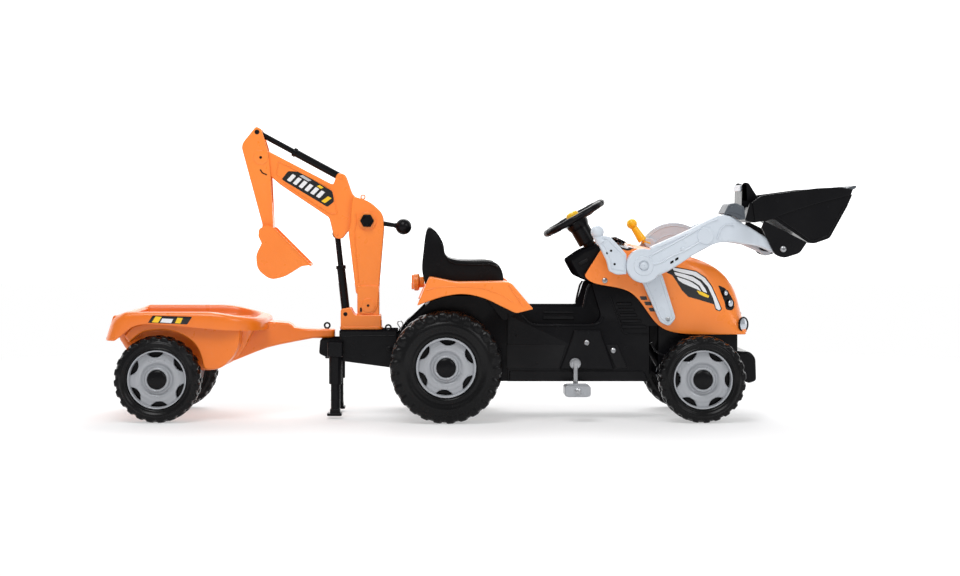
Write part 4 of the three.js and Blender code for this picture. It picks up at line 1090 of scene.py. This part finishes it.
def lift_lever():
    outline = rounded([(267.6, 441, 4), (281.4, 414.8, 5), (295, 387.3, 6), (297.8, 376.4, 4),
                       (300.6, 362.6, 5),
                       (319.8, 353.2, 6), (343, 355, 2), (343, 402, 2), (325.3, 423, 8), (303.3, 445, 6),
                       (281.4, 447.7, 6)])
    bm = slab(outline, -181, -163, 4, steps=4)
    groove = [Vector((x, -180.9, z)) * MM for x, z in
              ((278, 440), (296, 412), (305, 388), (308, 368), (338, 363), (338, 398), (316, 420),
               (297, 439))]
    tube(groove, 1.5, closed=True, bm=bm)
    finish_mesh("lift_lever_moulded", bm, GREY, "loader_arms", ["lift_lever"])
    knob = dome((274, -172, 456), 15.8, axis="y")
    finish_mesh("lift_lever_knob", knob, GREY, "loader_arms")
    neck = rod((270, -172, 450), (284, -172, 430), 9.5, 12)
    finish_mesh("lift_lever_neck", neck, GREY, "loader_arms")
    for k, (x, z) in enumerate(((296.7, 405.5), (306, 411), (314.3, 379))):
        bolt(f"lift_lever_screw_{k}", (x, -181, z), -1, "loader_arms", 2.8, 1.4, SATIN_BLACK)


def loader_crossbar():
    """A block on the right arm's top, its web, and the bar that runs across to the left arm, coloured dark
    slate as painted shade over this light grey part.
    """
    outline = rounded([(576, 499.8, 3), (588, 522.8, 5), (604, 526, 8), (625, 516, 6), (628, 486, 2),
                       (616, 484.5, 4), (598, 495.5, 8)])
    bm = slab(outline, -178, -80, 4, steps=4)
    slab(rounded([(578, 456, 1), (600, 456, 1), (600, 505, 1), (578, 505, 1)]), -142, -118, 1.5, bm=bm)
    slab(rounded([(558, 456, 2), (576, 456, 2), (576, 472, 2), (558, 472, 2)]), -159.6, 146, 1.5, bm=bm)
    slab(rounded([(564, 456, 2), (576, 456, 2), (576, 470, 2), (564, 470, 2)]), 140, 159.6, 1.5, bm=bm)
    slab(rounded([(566, 456, 2), (600, 456, 2), (600, 472, 2), (566, 472, 2)]), -142, -118, 1.5, bm=bm)
    finish_mesh("loader_crossbar_moulded", bm, SLATE_AND_SHADE, "loader_arms", ["loader_crossbar"])
    cap = rounded([(583, 503, 3), (591, 517, 4), (604, 521, 6), (620, 512, 4), (622, 493, 2), (602, 501, 6)])
    # The end cap carries the same painted shade: dark slate over a light grey part.
    finish_mesh("crossbar_end", slab(cap, -180, -176, 2), SLATE_AND_SHADE, "loader_arms")


def segment_of_disc(radius, below, slope, steps=56):
    """A disc's outline, cut straight across below its centre."""
    half = math.acos(below / radius)
    middle = math.radians(slope - 90)
    return [(radius * math.cos(t), radius * math.sin(t)) for t in
            (middle + half + (2 * math.pi - 2 * half) * k / steps for k in range(steps + 1))]


def tilt_handle():
    """The bucket's tilt disc inboard of the left loader arm, with its yellow handle."""
    face, back = TILT_DISC_FACES
    x, z = TILT_CENTRE[0], TILT_CENTRE[2] - 9
    bm = bmesh.new()
    for radius, below, front in ((94, 13, face + 1.8), (92.5, 12, face + 0.2)):
        plate = [Vector((x + a, z + b)) * MM for a, b in segment_of_disc(radius, below, 29)]
        slab(plate, front, back, 1.2, bm=bm)
    for radius, below in ((86, 6), (64, 0)):
        arc = [Vector((x + a, face + 0.4, z + b)) * MM for a, b in segment_of_disc(radius, below, 29)]
        tube(arc, 1.6, closed=True, bm=bm)
    turned([(0, 147), (8, 147), (8, 189), (0, 189)], TILT_CENTRE, "y", 32, bm)
    turned([(0, face - 1.5), (17, face - 1.5), (18, face), (18, face + 3), (0, face + 3)], TILT_CENTRE, "y",
           40, bm)
    finish_mesh("tilt_disc_moulded", bm, GREY, "tilt_handle", ["tilt_disc"])
    bm = rod((420, 143.5, 431), (396, 143.5, 468), 11.5, 8.5)
    rod((440, 144.5, 424), (420, 144.5, 431), 6, bm=bm)
    dome((392.6, 143.5, 474), 13.5, axis="y", bm=bm)
    finish_mesh("tilt_lever_moulded", bm, YELLOW, "tilt_handle", ["tilt_lever"])
    foot = rounded([(426, 438, 8), (446, 438, 10), (454, 424, 10), (446, 411, 10), (432, 412, 8),
                    (422, 426, 8)])
    finish_mesh("tilt_lever_foot", slab(foot, 138.8, 150.5, 2.5, steps=4), GREY, "tilt_handle")


def loader_bucket():
    soften("loader_bucket", BLACK, 1.8, 3)
    bm = bmesh.new()
    band = rounded([(653.7, 527.8, 4), (675.9, 543.4, 8), (809.4, 561.2, 8), (870.6, 564, 6),
                    (898.4, 558.4, 4),
                    (892.8, 544.5, 4), (815, 525, 12), (737, 500, 12), (692.6, 482.2, 10), (660.3, 478.9, 4)])
    for _, side in SIDES:
        low, high = sorted((side * 113, side * 120.6))
        slab(band, low, high, 2.4, steps=4, bm=bm)
    tube([Vector((889, y, 551)) * MM for y in (-115, 0, 115)], 4.6, segments=14, bm=bm)
    finish_mesh("bucket_rim", bm, BLACK, "loader_bucket")
    ribs = bmesh.new()
    line = ((664, 487), (710, 495), (790, 438), (804, 434), (838, 446), (876, 516))
    for _, side in SIDES:
        tube([Vector((x, side * 117.4, z)) * MM for x, z in line], 2.0, bm=ribs)
    finish_mesh("bucket_ribs", ribs, BLACK, "loader_bucket")
    teeth = bmesh.new()
    for k in range(6):
        y = -100 + 40 * k
        rings = []
        for x, half, z0, z1 in ((878, 12, 545, 558), (890, 12, 551, 564), (902, 9.5, 558.5, 567.5),
                                (909, 6, 563, 568)):
            rings.append([teeth.verts.new(Vector(spot) * MM) for spot in oval(y - half, y + half, z0, z1, x,
                                                                              2.5, 3)])
        skin(teeth, rings)
        teeth.faces.new(rings[0])
        teeth.faces.new(rings[-1])
    finish_mesh("bucket_teeth", teeth, SLATE_AND_SHADE, "loader_bucket")
    gusset = rounded([(641, 530, 2), (641, 571, 4), (647, 577, 3), (658, 575, 3), (682, 537, 6),
                      (662, 530, 2)])
    fins = bmesh.new()
    for _, side in SIDES:
        low, high = sorted((side * 46, side * 52))
        slab(gusset, low, high, 1.8, steps=4, bm=fins)
    finish_mesh("bucket_guard_fins", fins, BLACK, "loader_bucket")
    back = rounded([(-44, 555, 4), (44, 555, 4), (44, 570, 5), (-44, 570, 5)])
    finish_mesh("bucket_guard_face", slab(back, 637.4, 641.6, 1.5, plane="yz"), GREY, "loader_bucket")


def loader():
    for label, side in SIDES:
        loader_arm(label, side)
    loader_posts()
    lift_lever()
    loader_crossbar()
    tilt_handle()
    loader_bucket()


# ---------------------------------------------------------------- rear digger
def raised_disc(name, centre, side, radius, height, material, body, screw=3.2):
    """A low round boss with a small screw in its middle."""
    x, y, z = centre
    profile = [(0, -2), (radius, -2), (radius, height * 0.6), (radius - 1.2, height), (screw + 2, height),
               (screw + 1, height - 0.6), (0, height - 0.6)]
    bm = turned([(r, side * h) for r, h in profile], (x, y, z), "y", 48)
    piece = finish_mesh(name, bm, material, body)
    bolt(name + "_screw", (x, y + side * (height - 0.6), z), side, body, screw, 1.4, SATIN_BLACK)
    return piece


def base():
    outline = rounded([(-396, 191, 5), (-399, 156, 6), (-372, 143, 5), (-345, 138, 5), (-218, 121, 8),
                       (-206, 133, 4),
                       (-206, 213, 3), (-349, 213, 3), (-349, 191, 2)])
    bm = slab(outline, -60, 60, 3.5, steps=4)
    collars = rounded([(-376, -102, 7), (-338, -102, 7), (-338, 102, 7), (-376, 102, 7)])
    slab(collars, 151, 187, 3, plane="xy", bm=bm)
    for _, side in SIDES:
        sleeve = [(12.3, 84), (15, 84), (16, 86), (16, 150), (12.3, 150)]
        turned([(r, z) for r, z in sleeve], (-357, side * 82, 0), "z", 40, bm, closed=True)
    quiet_ledges(finish_mesh("base_moulded", bm, BLACK, "chassis", ["backhoe_base"]), -2)
    line_on_sides("base_ledge", [(-345, 198), (-300, 200), (-212, 200)], 60, 1.6, BLACK, "chassis")
    for label, side in SIDES:
        bolt(f"base_bolt_{label}", (-226, side * 60, 168), side, "chassis", 7, 4, SATIN_BLACK)
    bm = tube(ring_of((-229, -40, 219), 6.5), 2.2, closed=True, segments=12)
    rod((-229, -40, 196), (-229, -40, 213), 4.5, bm=bm)
    finish_mesh("base_pin", bm, BLACK, "chassis")
    clip = [(-196, 211), (-201, 222), (-206, 230), (-204, 236), (-198, 237), (-193, 232), (-193, 225),
            (-199, 217)]
    finish_mesh("retaining_clip", tube([Vector((x, -66, z)) * MM for x, z in clip], 1.5, segments=8), STEEL,
                "chassis")
    legs()


def ring_of(centre, radius, count=40):
    """Points in metres round an upright ring, seen from the side."""
    x, y, z = centre
    return [Vector((x + radius * math.cos(t), y, z + radius * math.sin(t))) * MM
            for t in (2 * math.pi * k / count for k in range(count))]


def legs():
    for label, side in SIDES:
        y = side * 82
        bm = turned([(0, 18), (11.5, 18), (11.5, 148.5), (10, 150), (0, 150)], (-357, y, 0), "z", 40)
        foot = rounded([(-377, y - 18, 4), (-341, y - 18, 4), (-341, y + 18, 4), (-377, y + 18, 4)])
        slab(foot, 7, 14, 2, plane="xy", bm=bm)
        upper = rounded([(-370, y - 14, 3), (-345, y - 14, 3), (-345, y + 14, 3), (-370, y + 14, 3)])
        slab(upper, 12, 24, 2, plane="xy", bm=bm)
        for k in range(4):
            height = 44 + 24 * k
            turned([(11, height - 2), (12, height - 1), (12, height + 1), (11, height + 2)], (-357, y, 0),
                   "z", 40, bm,
                   closed=True)
        finish_mesh(f"stabiliser_moulded_{label}", bm, BLACK, f"stabiliser_{label}", [f"stabiliser_{label}"])


def turret():
    outline = rounded([(-347, 213.4, 3), (-347, 264, 6), (-322, 268, 5), (-313, 250, 4), (-248, 250, 5),
                       (-246, 213.4, 3)])
    bm = bmesh.new()
    for _, side in SIDES:
        low, high = sorted((side * 13.5, side * 35))
        slab(outline, low, high, 3, steps=4, bm=bm)
    floor = rounded([(-347, 213.4, 2), (-347, 238, 2), (-246, 238, 2), (-246, 213.4, 2)])
    slab(floor, -20, 20, 1, bm=bm)
    skirt = rounded([(-349, -37, 14), (-244, -37, 14), (-244, 37, 14), (-349, 37, 14)])
    slab(skirt, 213.2, 221, 2, plane="xy", bm=bm)
    rod((-335, -20, 252), (-335, 20, 252), 4, bm=bm)
    rod((-300, 0, 150), (-300, 0, 216), 22, bm=bm)
    finish_mesh("turret_moulded", bm, ORANGE, "turret", ["turret"])
    for label, side in SIDES:
        bolt(f"turret_pin_{label}", (-335, side * 35, 252), side, "turret", 5, 2, SATIN_BLACK)


def mast():
    bm = bmesh.new()
    cheek = rounded([(-309, 300, 8), (-328, 455, 10), (-322, 480, 6), (-322, 500, 6), (-318, 544, 9),
                     (-277, 531, 16),
                     (-243, 500, 18), (-240, 467, 10), (-254, 300, 8)], 8)
    for _, side in SIDES:
        low, high = sorted((side * 20.8, side * 30.2))
        slab(cheek, low, high, 2.5, steps=4, bm=bm)
    lower = rounded([(-306, 241, 8), (-306, 420, 2), (-258, 420, 2), (-252, 300, 2), (-252, 241, 8)])
    slab(lower, -30, 30, 3, steps=4, bm=bm)
    finish_mesh("mast_moulded", bm, ORANGE, "turret", ["mast"])
    foot = rounded([(-306, 322, 4), (-306, 262, 10), (-296, 252, 10), (-268, 252, 14), (-256, 268, 10),
                    (-252, 322, 4)])
    for label, side in SIDES:
        low, high = sorted((side * 29, side * 33))
        finish_mesh(f"mast_foot_{label}", slab(foot, low, high, 1.8, steps=4), ORANGE, "turret")
        raised_disc(f"mast_boss_{label}", (-279, side * 33, 273), side, 17, 2, ORANGE, "turret")
        slot = rounded([(-299, 257, 1.5), (-294, 257, 1.5), (-294, 268, 1.5), (-299, 268, 1.5)])
        low, high = sorted((side * 33.2, side * 34))
        finish_mesh(f"mast_slot_{label}", slab(slot, low, high, 0.2), SATIN_BLACK, "turret")
        groove = [Vector((x, side * 30.4, z)) * MM for x,
                  z in ((-303, 330), (-313, 452), (-309, 478), (-309, 500))]
        finish_mesh(f"mast_bead_{label}", tube(groove, 1.4), ORANGE, "turret")
    finish_mesh("mast_eye", tube(ring_of((-292, -25.5, 541), 5), 1.6, closed=True, segments=10), ORANGE,
                "turret")


def hexagon(radius):
    return [(radius * math.cos(math.radians(60 * k)), radius * math.sin(math.radians(60 * k)),
             2) for k in range(6)]


def boom():
    outline = rounded([(-571, 642, 16), (-553, 666, 16), (-527, 655, 8), (-366, 571, 8), (-356, 602, 10),
                       (-336, 598, 10), (-318, 546, 10), (-262, 514, 26), (-252, 470, 20), (-290, 450, 20),
                       (-329, 457, 4), (-345, 436, 9), (-364, 440, 9), (-376, 490, 6), (-495, 570, 6),
                       (-540, 608, 16)], 8)
    bm = slab(outline, -19, 19, 3, steps=4)
    for x, z in ((-347, 590), (-357, 450)):
        rod((x, -20.5, z), (x, 20.5, z), 4.5, bm=bm)
    finish_mesh("boom_moulded", bm, ORANGE, "boom", ["boom"])
    panel = rounded([(-501, 630, 3), (-372, 563, 4), (-366, 552, 3), (-356, 500, 6), (-374, 500, 8),
                     (-482, 572, 6),
                     (-506, 598, 3)])
    for label, side in SIDES:
        frame_line = [Vector((p.x, side * 0.0192, p.y)) for p in panel]
        finish_mesh(f"boom_panel_edge_{label}", tube(frame_line, 1.5, closed=True), ORANGE, "boom")
        boom_label(label, side)
        washer = turned([(10, side * 30.3), (21, side * 30.3), (22, side * 31.5), (22, side * 34),
                         (20.5, side * 35),
                         (10, side * 35)], BOOM_PIVOT, "y", 64, closed=True)
        finish_mesh(f"boom_washer_{label}", washer, ORANGE, "boom")
        hexed = rounded([(-281.5 + x, 482.5 + z, r) for x, z, r in hexagon(17.5)], 4)
        low, high = sorted((side * 33, side * 42))
        head = slab(hexed, low, high, 2.5, steps=4)
        rim_profile = [(0, 41), (8, 41), (9, 42), (11, 43.5), (13, 42), (14, 41)]
        turned([(r, side * y) for r, y in rim_profile], BOOM_PIVOT, "y", 48, head)
        finish_mesh(f"boom_bolt_head_{label}", head, BLACK, "boom")
    shaft = rod((-281.5, -41, 482.5), (-281.5, 41, 482.5), 9)
    finish_mesh("boom_bolt_shaft", shaft, BLACK, "boom", ["boom_bolt"])
    lever = rod((-251, 0, 477), (-205, 0, 469.5), 6.2, 5.4)
    rod((-214, 0, 471), (-205, 0, 469.5), 6.5, 9, bm=lever)
    dome((-192, 0, 467.7), 20, axis="y", bm=lever)
    finish_mesh("boom_lever_moulded", lever, BLACK, "boom", ["boom_lever"])


def boom_label(label, side):
    """A generic digger sticker of slanted bars: black, white, yellow and silver, with no lettering."""
    shell = bpy.data.objects["boom_moulded"]
    along = Vector((125, -70)).normalized()
    square = Vector((-along.y, along.x))
    start = Vector((-487, 597))

    def strip(name, shape, material, lift):
        spots = rounded([tuple(start + along * a + square * b) + (r,) for a, b, r in shape])
        flat_label(f"{name}_{label}", spots, shell, side, material, "boom", lift, 3.0)

    strip("boom_label_ground", [(0, -14, 4), (4, 12, 4), (30, 24, 3), (128, 22, 4), (140, 0, 4),
                                (132, -18, 4)],
          LABEL_BLACK, 0.5)
    for k in range(6):
        a = 12 + 16.5 * k
        strip(f"boom_label_bar_{k}", [(a, -9, 2), (a + 10, -9, 2), (a + 15, 11, 2), (a + 5, 11, 2)],
              LABEL_WHITE, 0.8)
    strip("boom_label_yellow", [(112, -13, 1), (122, -13, 1), (131, 6, 1), (121, 6, 1)], LABEL_YELLOW, 0.8)
    strip("boom_label_silver", [(34, 15, 1), (60, 14, 1), (66, 20, 1), (40, 21, 1)], LABEL_SILVER, 0.8)
    strip("boom_label_spark", [(84, 14, 1), (96, 13, 1), (101, 19, 1), (89, 20, 1)], LABEL_YELLOW, 0.8)


def stick():
    outline = rounded([(-594, 670, 14), (-556, 717, 9), (-543, 708, 6), (-527, 655, 8), (-520, 590, 8),
                       (-514, 466, 8), (-519, 434, 12), (-545, 434, 12), (-546, 458, 8), (-540, 470, 8)], 8)
    bm = bmesh.new()
    for _, side in SIDES:
        low, high = sorted((side * 20.4, side * 27.2))
        slab(outline, low, high, 2.2, steps=4, bm=bm)
    core = rounded([(-552, 530, 4), (-519, 530, 4), (-514, 466, 6), (-519, 436, 10), (-543, 436, 10),
                    (-544, 458, 6),
                    (-538, 470, 6)])
    slab(core, -24, 24, 1.5, bm=bm)
    spine = rounded([(-592, 662, 2), (-588, 666, 2), (-546, 534, 2), (-552, 530, 2)])
    slab(spine, -24, 24, 1, bm=bm)
    rod((-545, -26, 639), (-545, 26, 639), 8, bm=bm)
    rod((-554, -25, 702), (-554, 25, 702), 4, bm=bm)
    finish_mesh("stick_moulded", bm, ORANGE, "stick", ["stick"])
    for label, side in SIDES:
        raised_disc(f"stick_boss_{label}", (-545, side * 27, 639), side, 18, 1.6, ORANGE, "stick", 3.4)
        bolt(f"stick_pin_{label}", (-554, side * 27, 702), side, "stick", 6, 2, SATIN_BLACK)
        slot = [Vector((x, side * 27.3, z)) * MM for x, z in ((-546, 609), (-541, 601), (-530, 596))]
        finish_mesh(f"stick_slot_{label}", tube(slot, 1.5), SATIN_BLACK, "stick")
        raised_disc(f"bucket_hinge_cap_{label}", (-532, side * 26.5, 448), side, 12, 2, ORANGE, "stick", 3)


def dig_bucket():
    soften("dig_bucket", ORANGE, 1.6, 3)
    bm = bmesh.new()
    for _, side in SIDES:
        tube([Vector((x, side * 42.5, z)) * MM for x, z in ((-512, 464), (-466, 418), (-422, 374))], 2.4,
             bm=bm)
    tube([Vector((-421, y, 373)) * MM for y in (-43, 0, 43)], 2.6, bm=bm)
    finish_mesh("dig_bucket_rim", bm, ORANGE, "dig_bucket")


def struts():
    for start, end, split, tube_radius, rod_radius, eye, name in (
        ((-335, 252), (-357, 450), 120, 10.5, 7.2, 12, "boom"),
        ((-347, 590), (-554, 702), 136, 9.5, 7, 11, "stick"),
    ):
        a = Vector((start[0], 0, start[1]))
        b = Vector((end[0], 0, end[1]))
        along = (b - a).normalized()
        length = (b - a).length
        frame_axes = basis(along)
        cylinder = [(0, 0), (tube_radius, 2), (tube_radius, split - 10), (tube_radius + 2, split - 8),
                    (tube_radius + 2, split - 2), (tube_radius + 1, split), (rod_radius + 0.8, split),
                    (rod_radius + 0.8, split - 30)]
        bm = turned(cylinder, a, frame_axes, 40)
        rod((start[0], -9.5, start[1]), (start[0], 9.5, start[1]), tube_radius + 0.5, bm=bm)
        finish_mesh(f"{name}_cylinder_moulded", bm, BLACK, f"{name}_cylinder", [f"{name}_cylinder"])
        bm = turned([(0, split - 28), (rod_radius, split - 28), (rod_radius, length - eye + 2),
                     (0, length - eye + 3)],
                    a, frame_axes, 40)
        rod((end[0], -8.5, end[1]), (end[0], 8.5, end[1]), eye, bm=bm)
        finish_mesh(f"{name}_rod_moulded", bm, BLACK, f"{name}_rod", [f"{name}_rod"])


def digger():
    base()
    turret()
    mast()
    boom()
    stick()
    dig_bucket()
    struts()


# ---------------------------------------------------------------- trailer
def skirt_height(x):
    """Height of the trailer skirt's lower edge at x: low at the tail, arched over the wheel."""
    spots = [(-910, 195), (-868, 196), (-857, 212), (-841, 227), (-823, 234), (-803, 237), (-748, 234),
             (-698, 229),
             (-623, 222), (-533, 217), (-500, 217)]
    for (x0, z0), (x1, z1) in zip(spots, spots[1:]):
        if x <= x1:
            return z0 + (z1 - z0) * min(max((x - x0) / (x1 - x0), 0), 1)
    return spots[-1][1]


def rim_drop(x):
    """How far the rim lies below its highest line: at the tail and where it slopes to the drawbar."""
    return 7 * (1 - step(-872, -848, x)) + 18 * step(-660, -530, x)


def trailer_plan():
    right = [(-886, -164, 20), (-866, -194, 24), (-600, -194, 60), (-546, -152, 60), (-524, -92, 40)]
    return dense_outline(rounded(right + [(x, -y, r) for x, y, r in reversed(right)], 10), 12)


def dense_outline(outline, longest):
    """An outline with every side longer than longest (mm) split into equal pieces."""
    dense = []
    for a, b in zip(outline, outline[1:] + outline[:1]):
        pieces = max(1, math.ceil((b - a).length / (longest * MM)))
        dense += [a.lerp(b, k / pieces) for k in range(pieces)]
    return dense


def trailer_skirt():
    plan = trailer_plan()
    bm = bmesh.new()
    rings = []
    levels = [(3.5, 0.02), (1, 0.0), (0, 0.06), (0, 0.35), (0, 0.62), (1, 0.78), (3.5, 0.89), (8, 0.965),
              (14, 1.0),
              (21, 0.995), (26, 0.95), (29, 0.86), (31, 0.6), (33, 0.3), (36, 0.14), (44, 0.1)]
    for inward, share in levels:
        ring = []
        moved = shrunk(plan, inward * MM) if inward else plan
        for spot in moved:
            x, y = spot.x / MM, spot.y / MM
            low = max(skirt_height(x), 0) if inward < 30 else 234
            if 30 > inward > 24:
                low = 232
            top = 265 - rim_drop(x)
            z = low + (top - low) * share
            lean = (1 - step(-884, -850, x)) * (258 - z) * 0.3 * (1 if inward < 8 else 0)
            ring.append(bm.verts.new(Vector((x - lean, y, z)) * MM))
        rings.append(ring)
    skin(bm, rings)
    piece = finish_mesh("trailer_skirt", bm, TRAILER_ORANGE, "trailer", smooth=math.radians(55))
    wall = piece.modifiers.new("wall", "SOLIDIFY")
    wall.thickness = 3.2 * MM
    wall.offset = -1
    return piece


def tub_ring(back, front, half, corner):
    shape = [(back, -half + corner * 0.3, corner), (back + corner * 0.4, -half, corner),
             (front, -half * 0.86, corner),
             (front, half * 0.86, corner), (back + corner * 0.4, half, corner),
             (back, half - corner * 0.3, corner)]
    return dense_outline(rounded(shape, 6), 400)


def trailer_tub():
    bm = bmesh.new()
    outside = [(236.5, -884, -545, 160), (229, -884, -549, 142), (212, -882, -558, 124),
               (194, -880, -567, 112),
               (170, -866, -579, 107), (152, -848, -590, 103), (136, -790, -612, 99), (124, -725, -636, 95),
               (118, -700, -650, 92)]
    inside_rings = [(122, -708, -656, 88), (128, -730, -642, 91), (140, -785, -618, 95),
                    (155, -842, -596, 99),
                    (172, -860, -585, 103), (196, -875, -573, 108), (214, -877, -563, 120),
                    (232, -878, -554, 138), (239, -878, -551, 158)]
    rings = []
    for z, back, front, half in outside + inside_rings:
        rings.append([bm.verts.new((p.x, p.y, z * MM)) for p in tub_ring(back, front, half, 26)])
    skin(bm, rings[:len(outside)])
    skin(bm, rings[len(outside):])
    bm.faces.new(rings[len(outside) - 1])
    bm.faces.new(rings[len(outside)])
    skin(bm, [rings[0], rings[-1]])
    finish_mesh("trailer_tub", bm, TRAILER_ORANGE, "trailer", ["trailer_body"], smooth=math.radians(45))


def trailer():
    skirt = trailer_skirt()
    trailer_tub()
    arch = [(-858, 208, 4), (-846, 190, 4), (-828, 207, 14), (-811, 217, 20), (-773, 222, 30),
            (-748, 220, 20),
            (-723, 212, 20), (-698, 197, 20), (-683, 180, 16), (-673, 155, 16), (-668, 128, 8),
            (-643, 125, 12), (-622, 132, 14), (-598, 155, 14), (-584, 182, 14), (-580, 222, 3),
            (-620, 226, 8), (-700, 234, 8), (-750, 238, 8), (-805, 240, 8), (-842, 230, 10)]
    bm = bmesh.new()
    for _, side in SIDES:
        low, high = sorted((side * 88, side * 172))
        slab(rounded(arch), low, high, 5, steps=5, bm=bm)
    finish_mesh("trailer_arches", bm, TRAILER_ORANGE, "trailer", smooth=math.radians(60))
    bm = bmesh.new()
    rings = []
    for x, z0, z1, half in ((-606, 140, 232, 82), (-580, 150, 234, 72), (-552, 161, 235, 59),
                            (-526, 170, 234, 47),
                            (-500, 176, 232, 38), (-478, 180, 230, 30), (-469, 181.5, 226, 28),
                            (-462, 183, 218.5, 27), (-440, 187, 215.5, 25), (-416, 191.4, 214, 24),
                            (-380, 191.4, 214, 24), (-367, 191.6, 213.6, 20), (-362.5, 193, 212, 15)):
        rings.append([bm.verts.new(Vector(spot) * MM) for spot in oval(-half, half, z0, z1, x, 6)])
    skin(bm, rings)
    bm.faces.new(rings[0])
    bm.faces.new(rings[-1])
    for _, side in SIDES:
        hanger = rounded([(-792, 88, 5), (-762, 88, 5), (-750, 150, 2), (-800, 150, 2)])
        low, high = sorted((side * 60, side * 78))
        slab(hanger, low, high, 2, bm=bm)
    finish_mesh("trailer_drawbar", bm, TRAILER_ORANGE, "trailer", smooth=math.radians(45))
    lip = rounded([(-904, 197, 2), (-886, 255, 4), (-852, 257, 3), (-854, 244, 3), (-874, 212, 6),
                   (-882, 197, 2)])
    finish_mesh("trailer_tail_lip", slab(lip, -160, 160, 2.5, steps=4), TRAILER_ORANGE, "trailer")
    hazard_label(skirt)
    bm = rod((-382, 0, 140), (-382, 0, 216), 5)
    tube(ring_of((-382, 0, 222), 6.5), 2.3, closed=True, segments=12, bm=bm)
    finish_mesh("hitch_pin_moulded", bm, BLACK, "hitch_pin", ["hitch_pin"])


def hazard_label(skirt):
    bpy.context.view_layer.update()
    for label, side in SIDES:
        pieces = (
            ("ground", [(-797, 240, 1), (-786, 257, 2), (-692, 254, 2), (-704, 236, 1)], LABEL_BLACK, 0.5),
            ("yellow", [(-788, 241, 0.5), (-779, 255, 0.5), (-764, 254, 0.5), (-773, 240, 0.5)],
             LABEL_YELLOW, 0.8),
            ("white", [(-768, 241, 0.5), (-763, 250, 0.5), (-737, 249, 0.5), (-742, 239, 0.5)], LABEL_WHITE,
             0.8),
            ("amber", [(-733, 239, 0.5), (-727, 252, 0.5), (-714, 251, 0.5), (-720, 238, 0.5)],
             LABEL_YELLOW, 0.8),
        )
        for name, shape, material, lift in pieces:
            flat_label(f"hazard_{name}_{label}", rounded(shape), skirt, side, material, "trailer", lift, 3.0)


# ---------------------------------------------------------------- stage
def stage():
    """A pale floor that brightens to white with distance, soft lights and a camera at the right-hand side."""
    bpy.ops.mesh.primitive_plane_add(size=60, location=(0, 0, 0))
    floor = bpy.context.object
    floor.name = "floor"
    floor.data.materials.append(floor_material())
    bpy.ops.mesh.primitive_plane_add(size=60, location=(0, 9, 0), rotation=(math.pi / 2, 0, 0))
    wall = bpy.context.object
    wall.name = "backdrop"
    wall.data.materials.append(glowing_white())
    world = bpy.context.scene.world or bpy.data.worlds.new("studio")
    bpy.context.scene.world = world
    world.use_nodes = True
    background = world.node_tree.nodes["Background"]
    background.inputs["Color"].default_value = (1, 1, 1, 1)
    background.inputs["Strength"].default_value = 0.35
    for name, place, watts, size in STUDIO_LIGHTS:
        data = bpy.data.lights.new(name, "AREA")
        data.energy = watts
        data.size = size
        lamp_object = bpy.data.objects.new(name, data)
        lamp_object.location = place
        aim = Vector((0, 0, 0.25)) - Vector(place)
        lamp_object.rotation_euler = aim.to_track_quat("-Z", "Y").to_euler()
        bpy.context.scene.collection.objects.link(lamp_object)
    data = bpy.data.cameras.new("camera")
    data.lens = 66.3
    data.sensor_width = 36
    data.shift_x = 0.052
    data.shift_y = -0.072
    camera = bpy.data.objects.new("camera", data)
    camera.location = (-0.126, -4.4, 0.487)
    camera.rotation_euler = (math.pi / 2, 0, 0)
    bpy.context.scene.collection.objects.link(camera)
    bpy.context.scene.camera = camera
    bpy.context.scene.view_settings.view_transform = "Standard"


def glowing_white():
    material = bpy.data.materials.new("white_wall")
    material.use_nodes = True
    shader = material.node_tree.nodes["Principled BSDF"]
    shader.inputs["Emission Color"].default_value = (1, 1, 1, 1)
    shader.inputs["Emission Strength"].default_value = 1.0
    return material


def floor_material():
    """A pale matt floor near the object that turns into glowing white away from it."""
    material = bpy.data.materials.new("pale_floor")
    material.use_nodes = True
    nodes = material.node_tree.nodes
    links = material.node_tree.links
    matt = nodes["Principled BSDF"]
    matt.inputs["Base Color"].default_value = (0.93, 0.93, 0.94, 1)
    matt.inputs["Roughness"].default_value = 0.75
    glow = nodes.new("ShaderNodeEmission")
    distance = nodes.new("ShaderNodeVectorMath")
    distance.operation = "LENGTH"
    links.new(nodes.new("ShaderNodeTexCoord").outputs["Object"], distance.inputs[0])
    faded = spread(nodes, links, distance.outputs["Value"], FLOOR_GLOW, 1, *FLOOR_FADE)
    mix = nodes.new("ShaderNodeMixShader")
    links.new(faded, mix.inputs["Fac"])
    links.new(matt.outputs["BSDF"], mix.inputs[1])
    links.new(glow.outputs["Emission"], mix.inputs[2])
    links.new(mix.outputs["Shader"], nodes["Material Output"].inputs["Surface"])
    return material


wheels()
chassis()
rear_fender()
drive()
steering()
seat()
hood()
loader()
digger()
trailer()
stage()
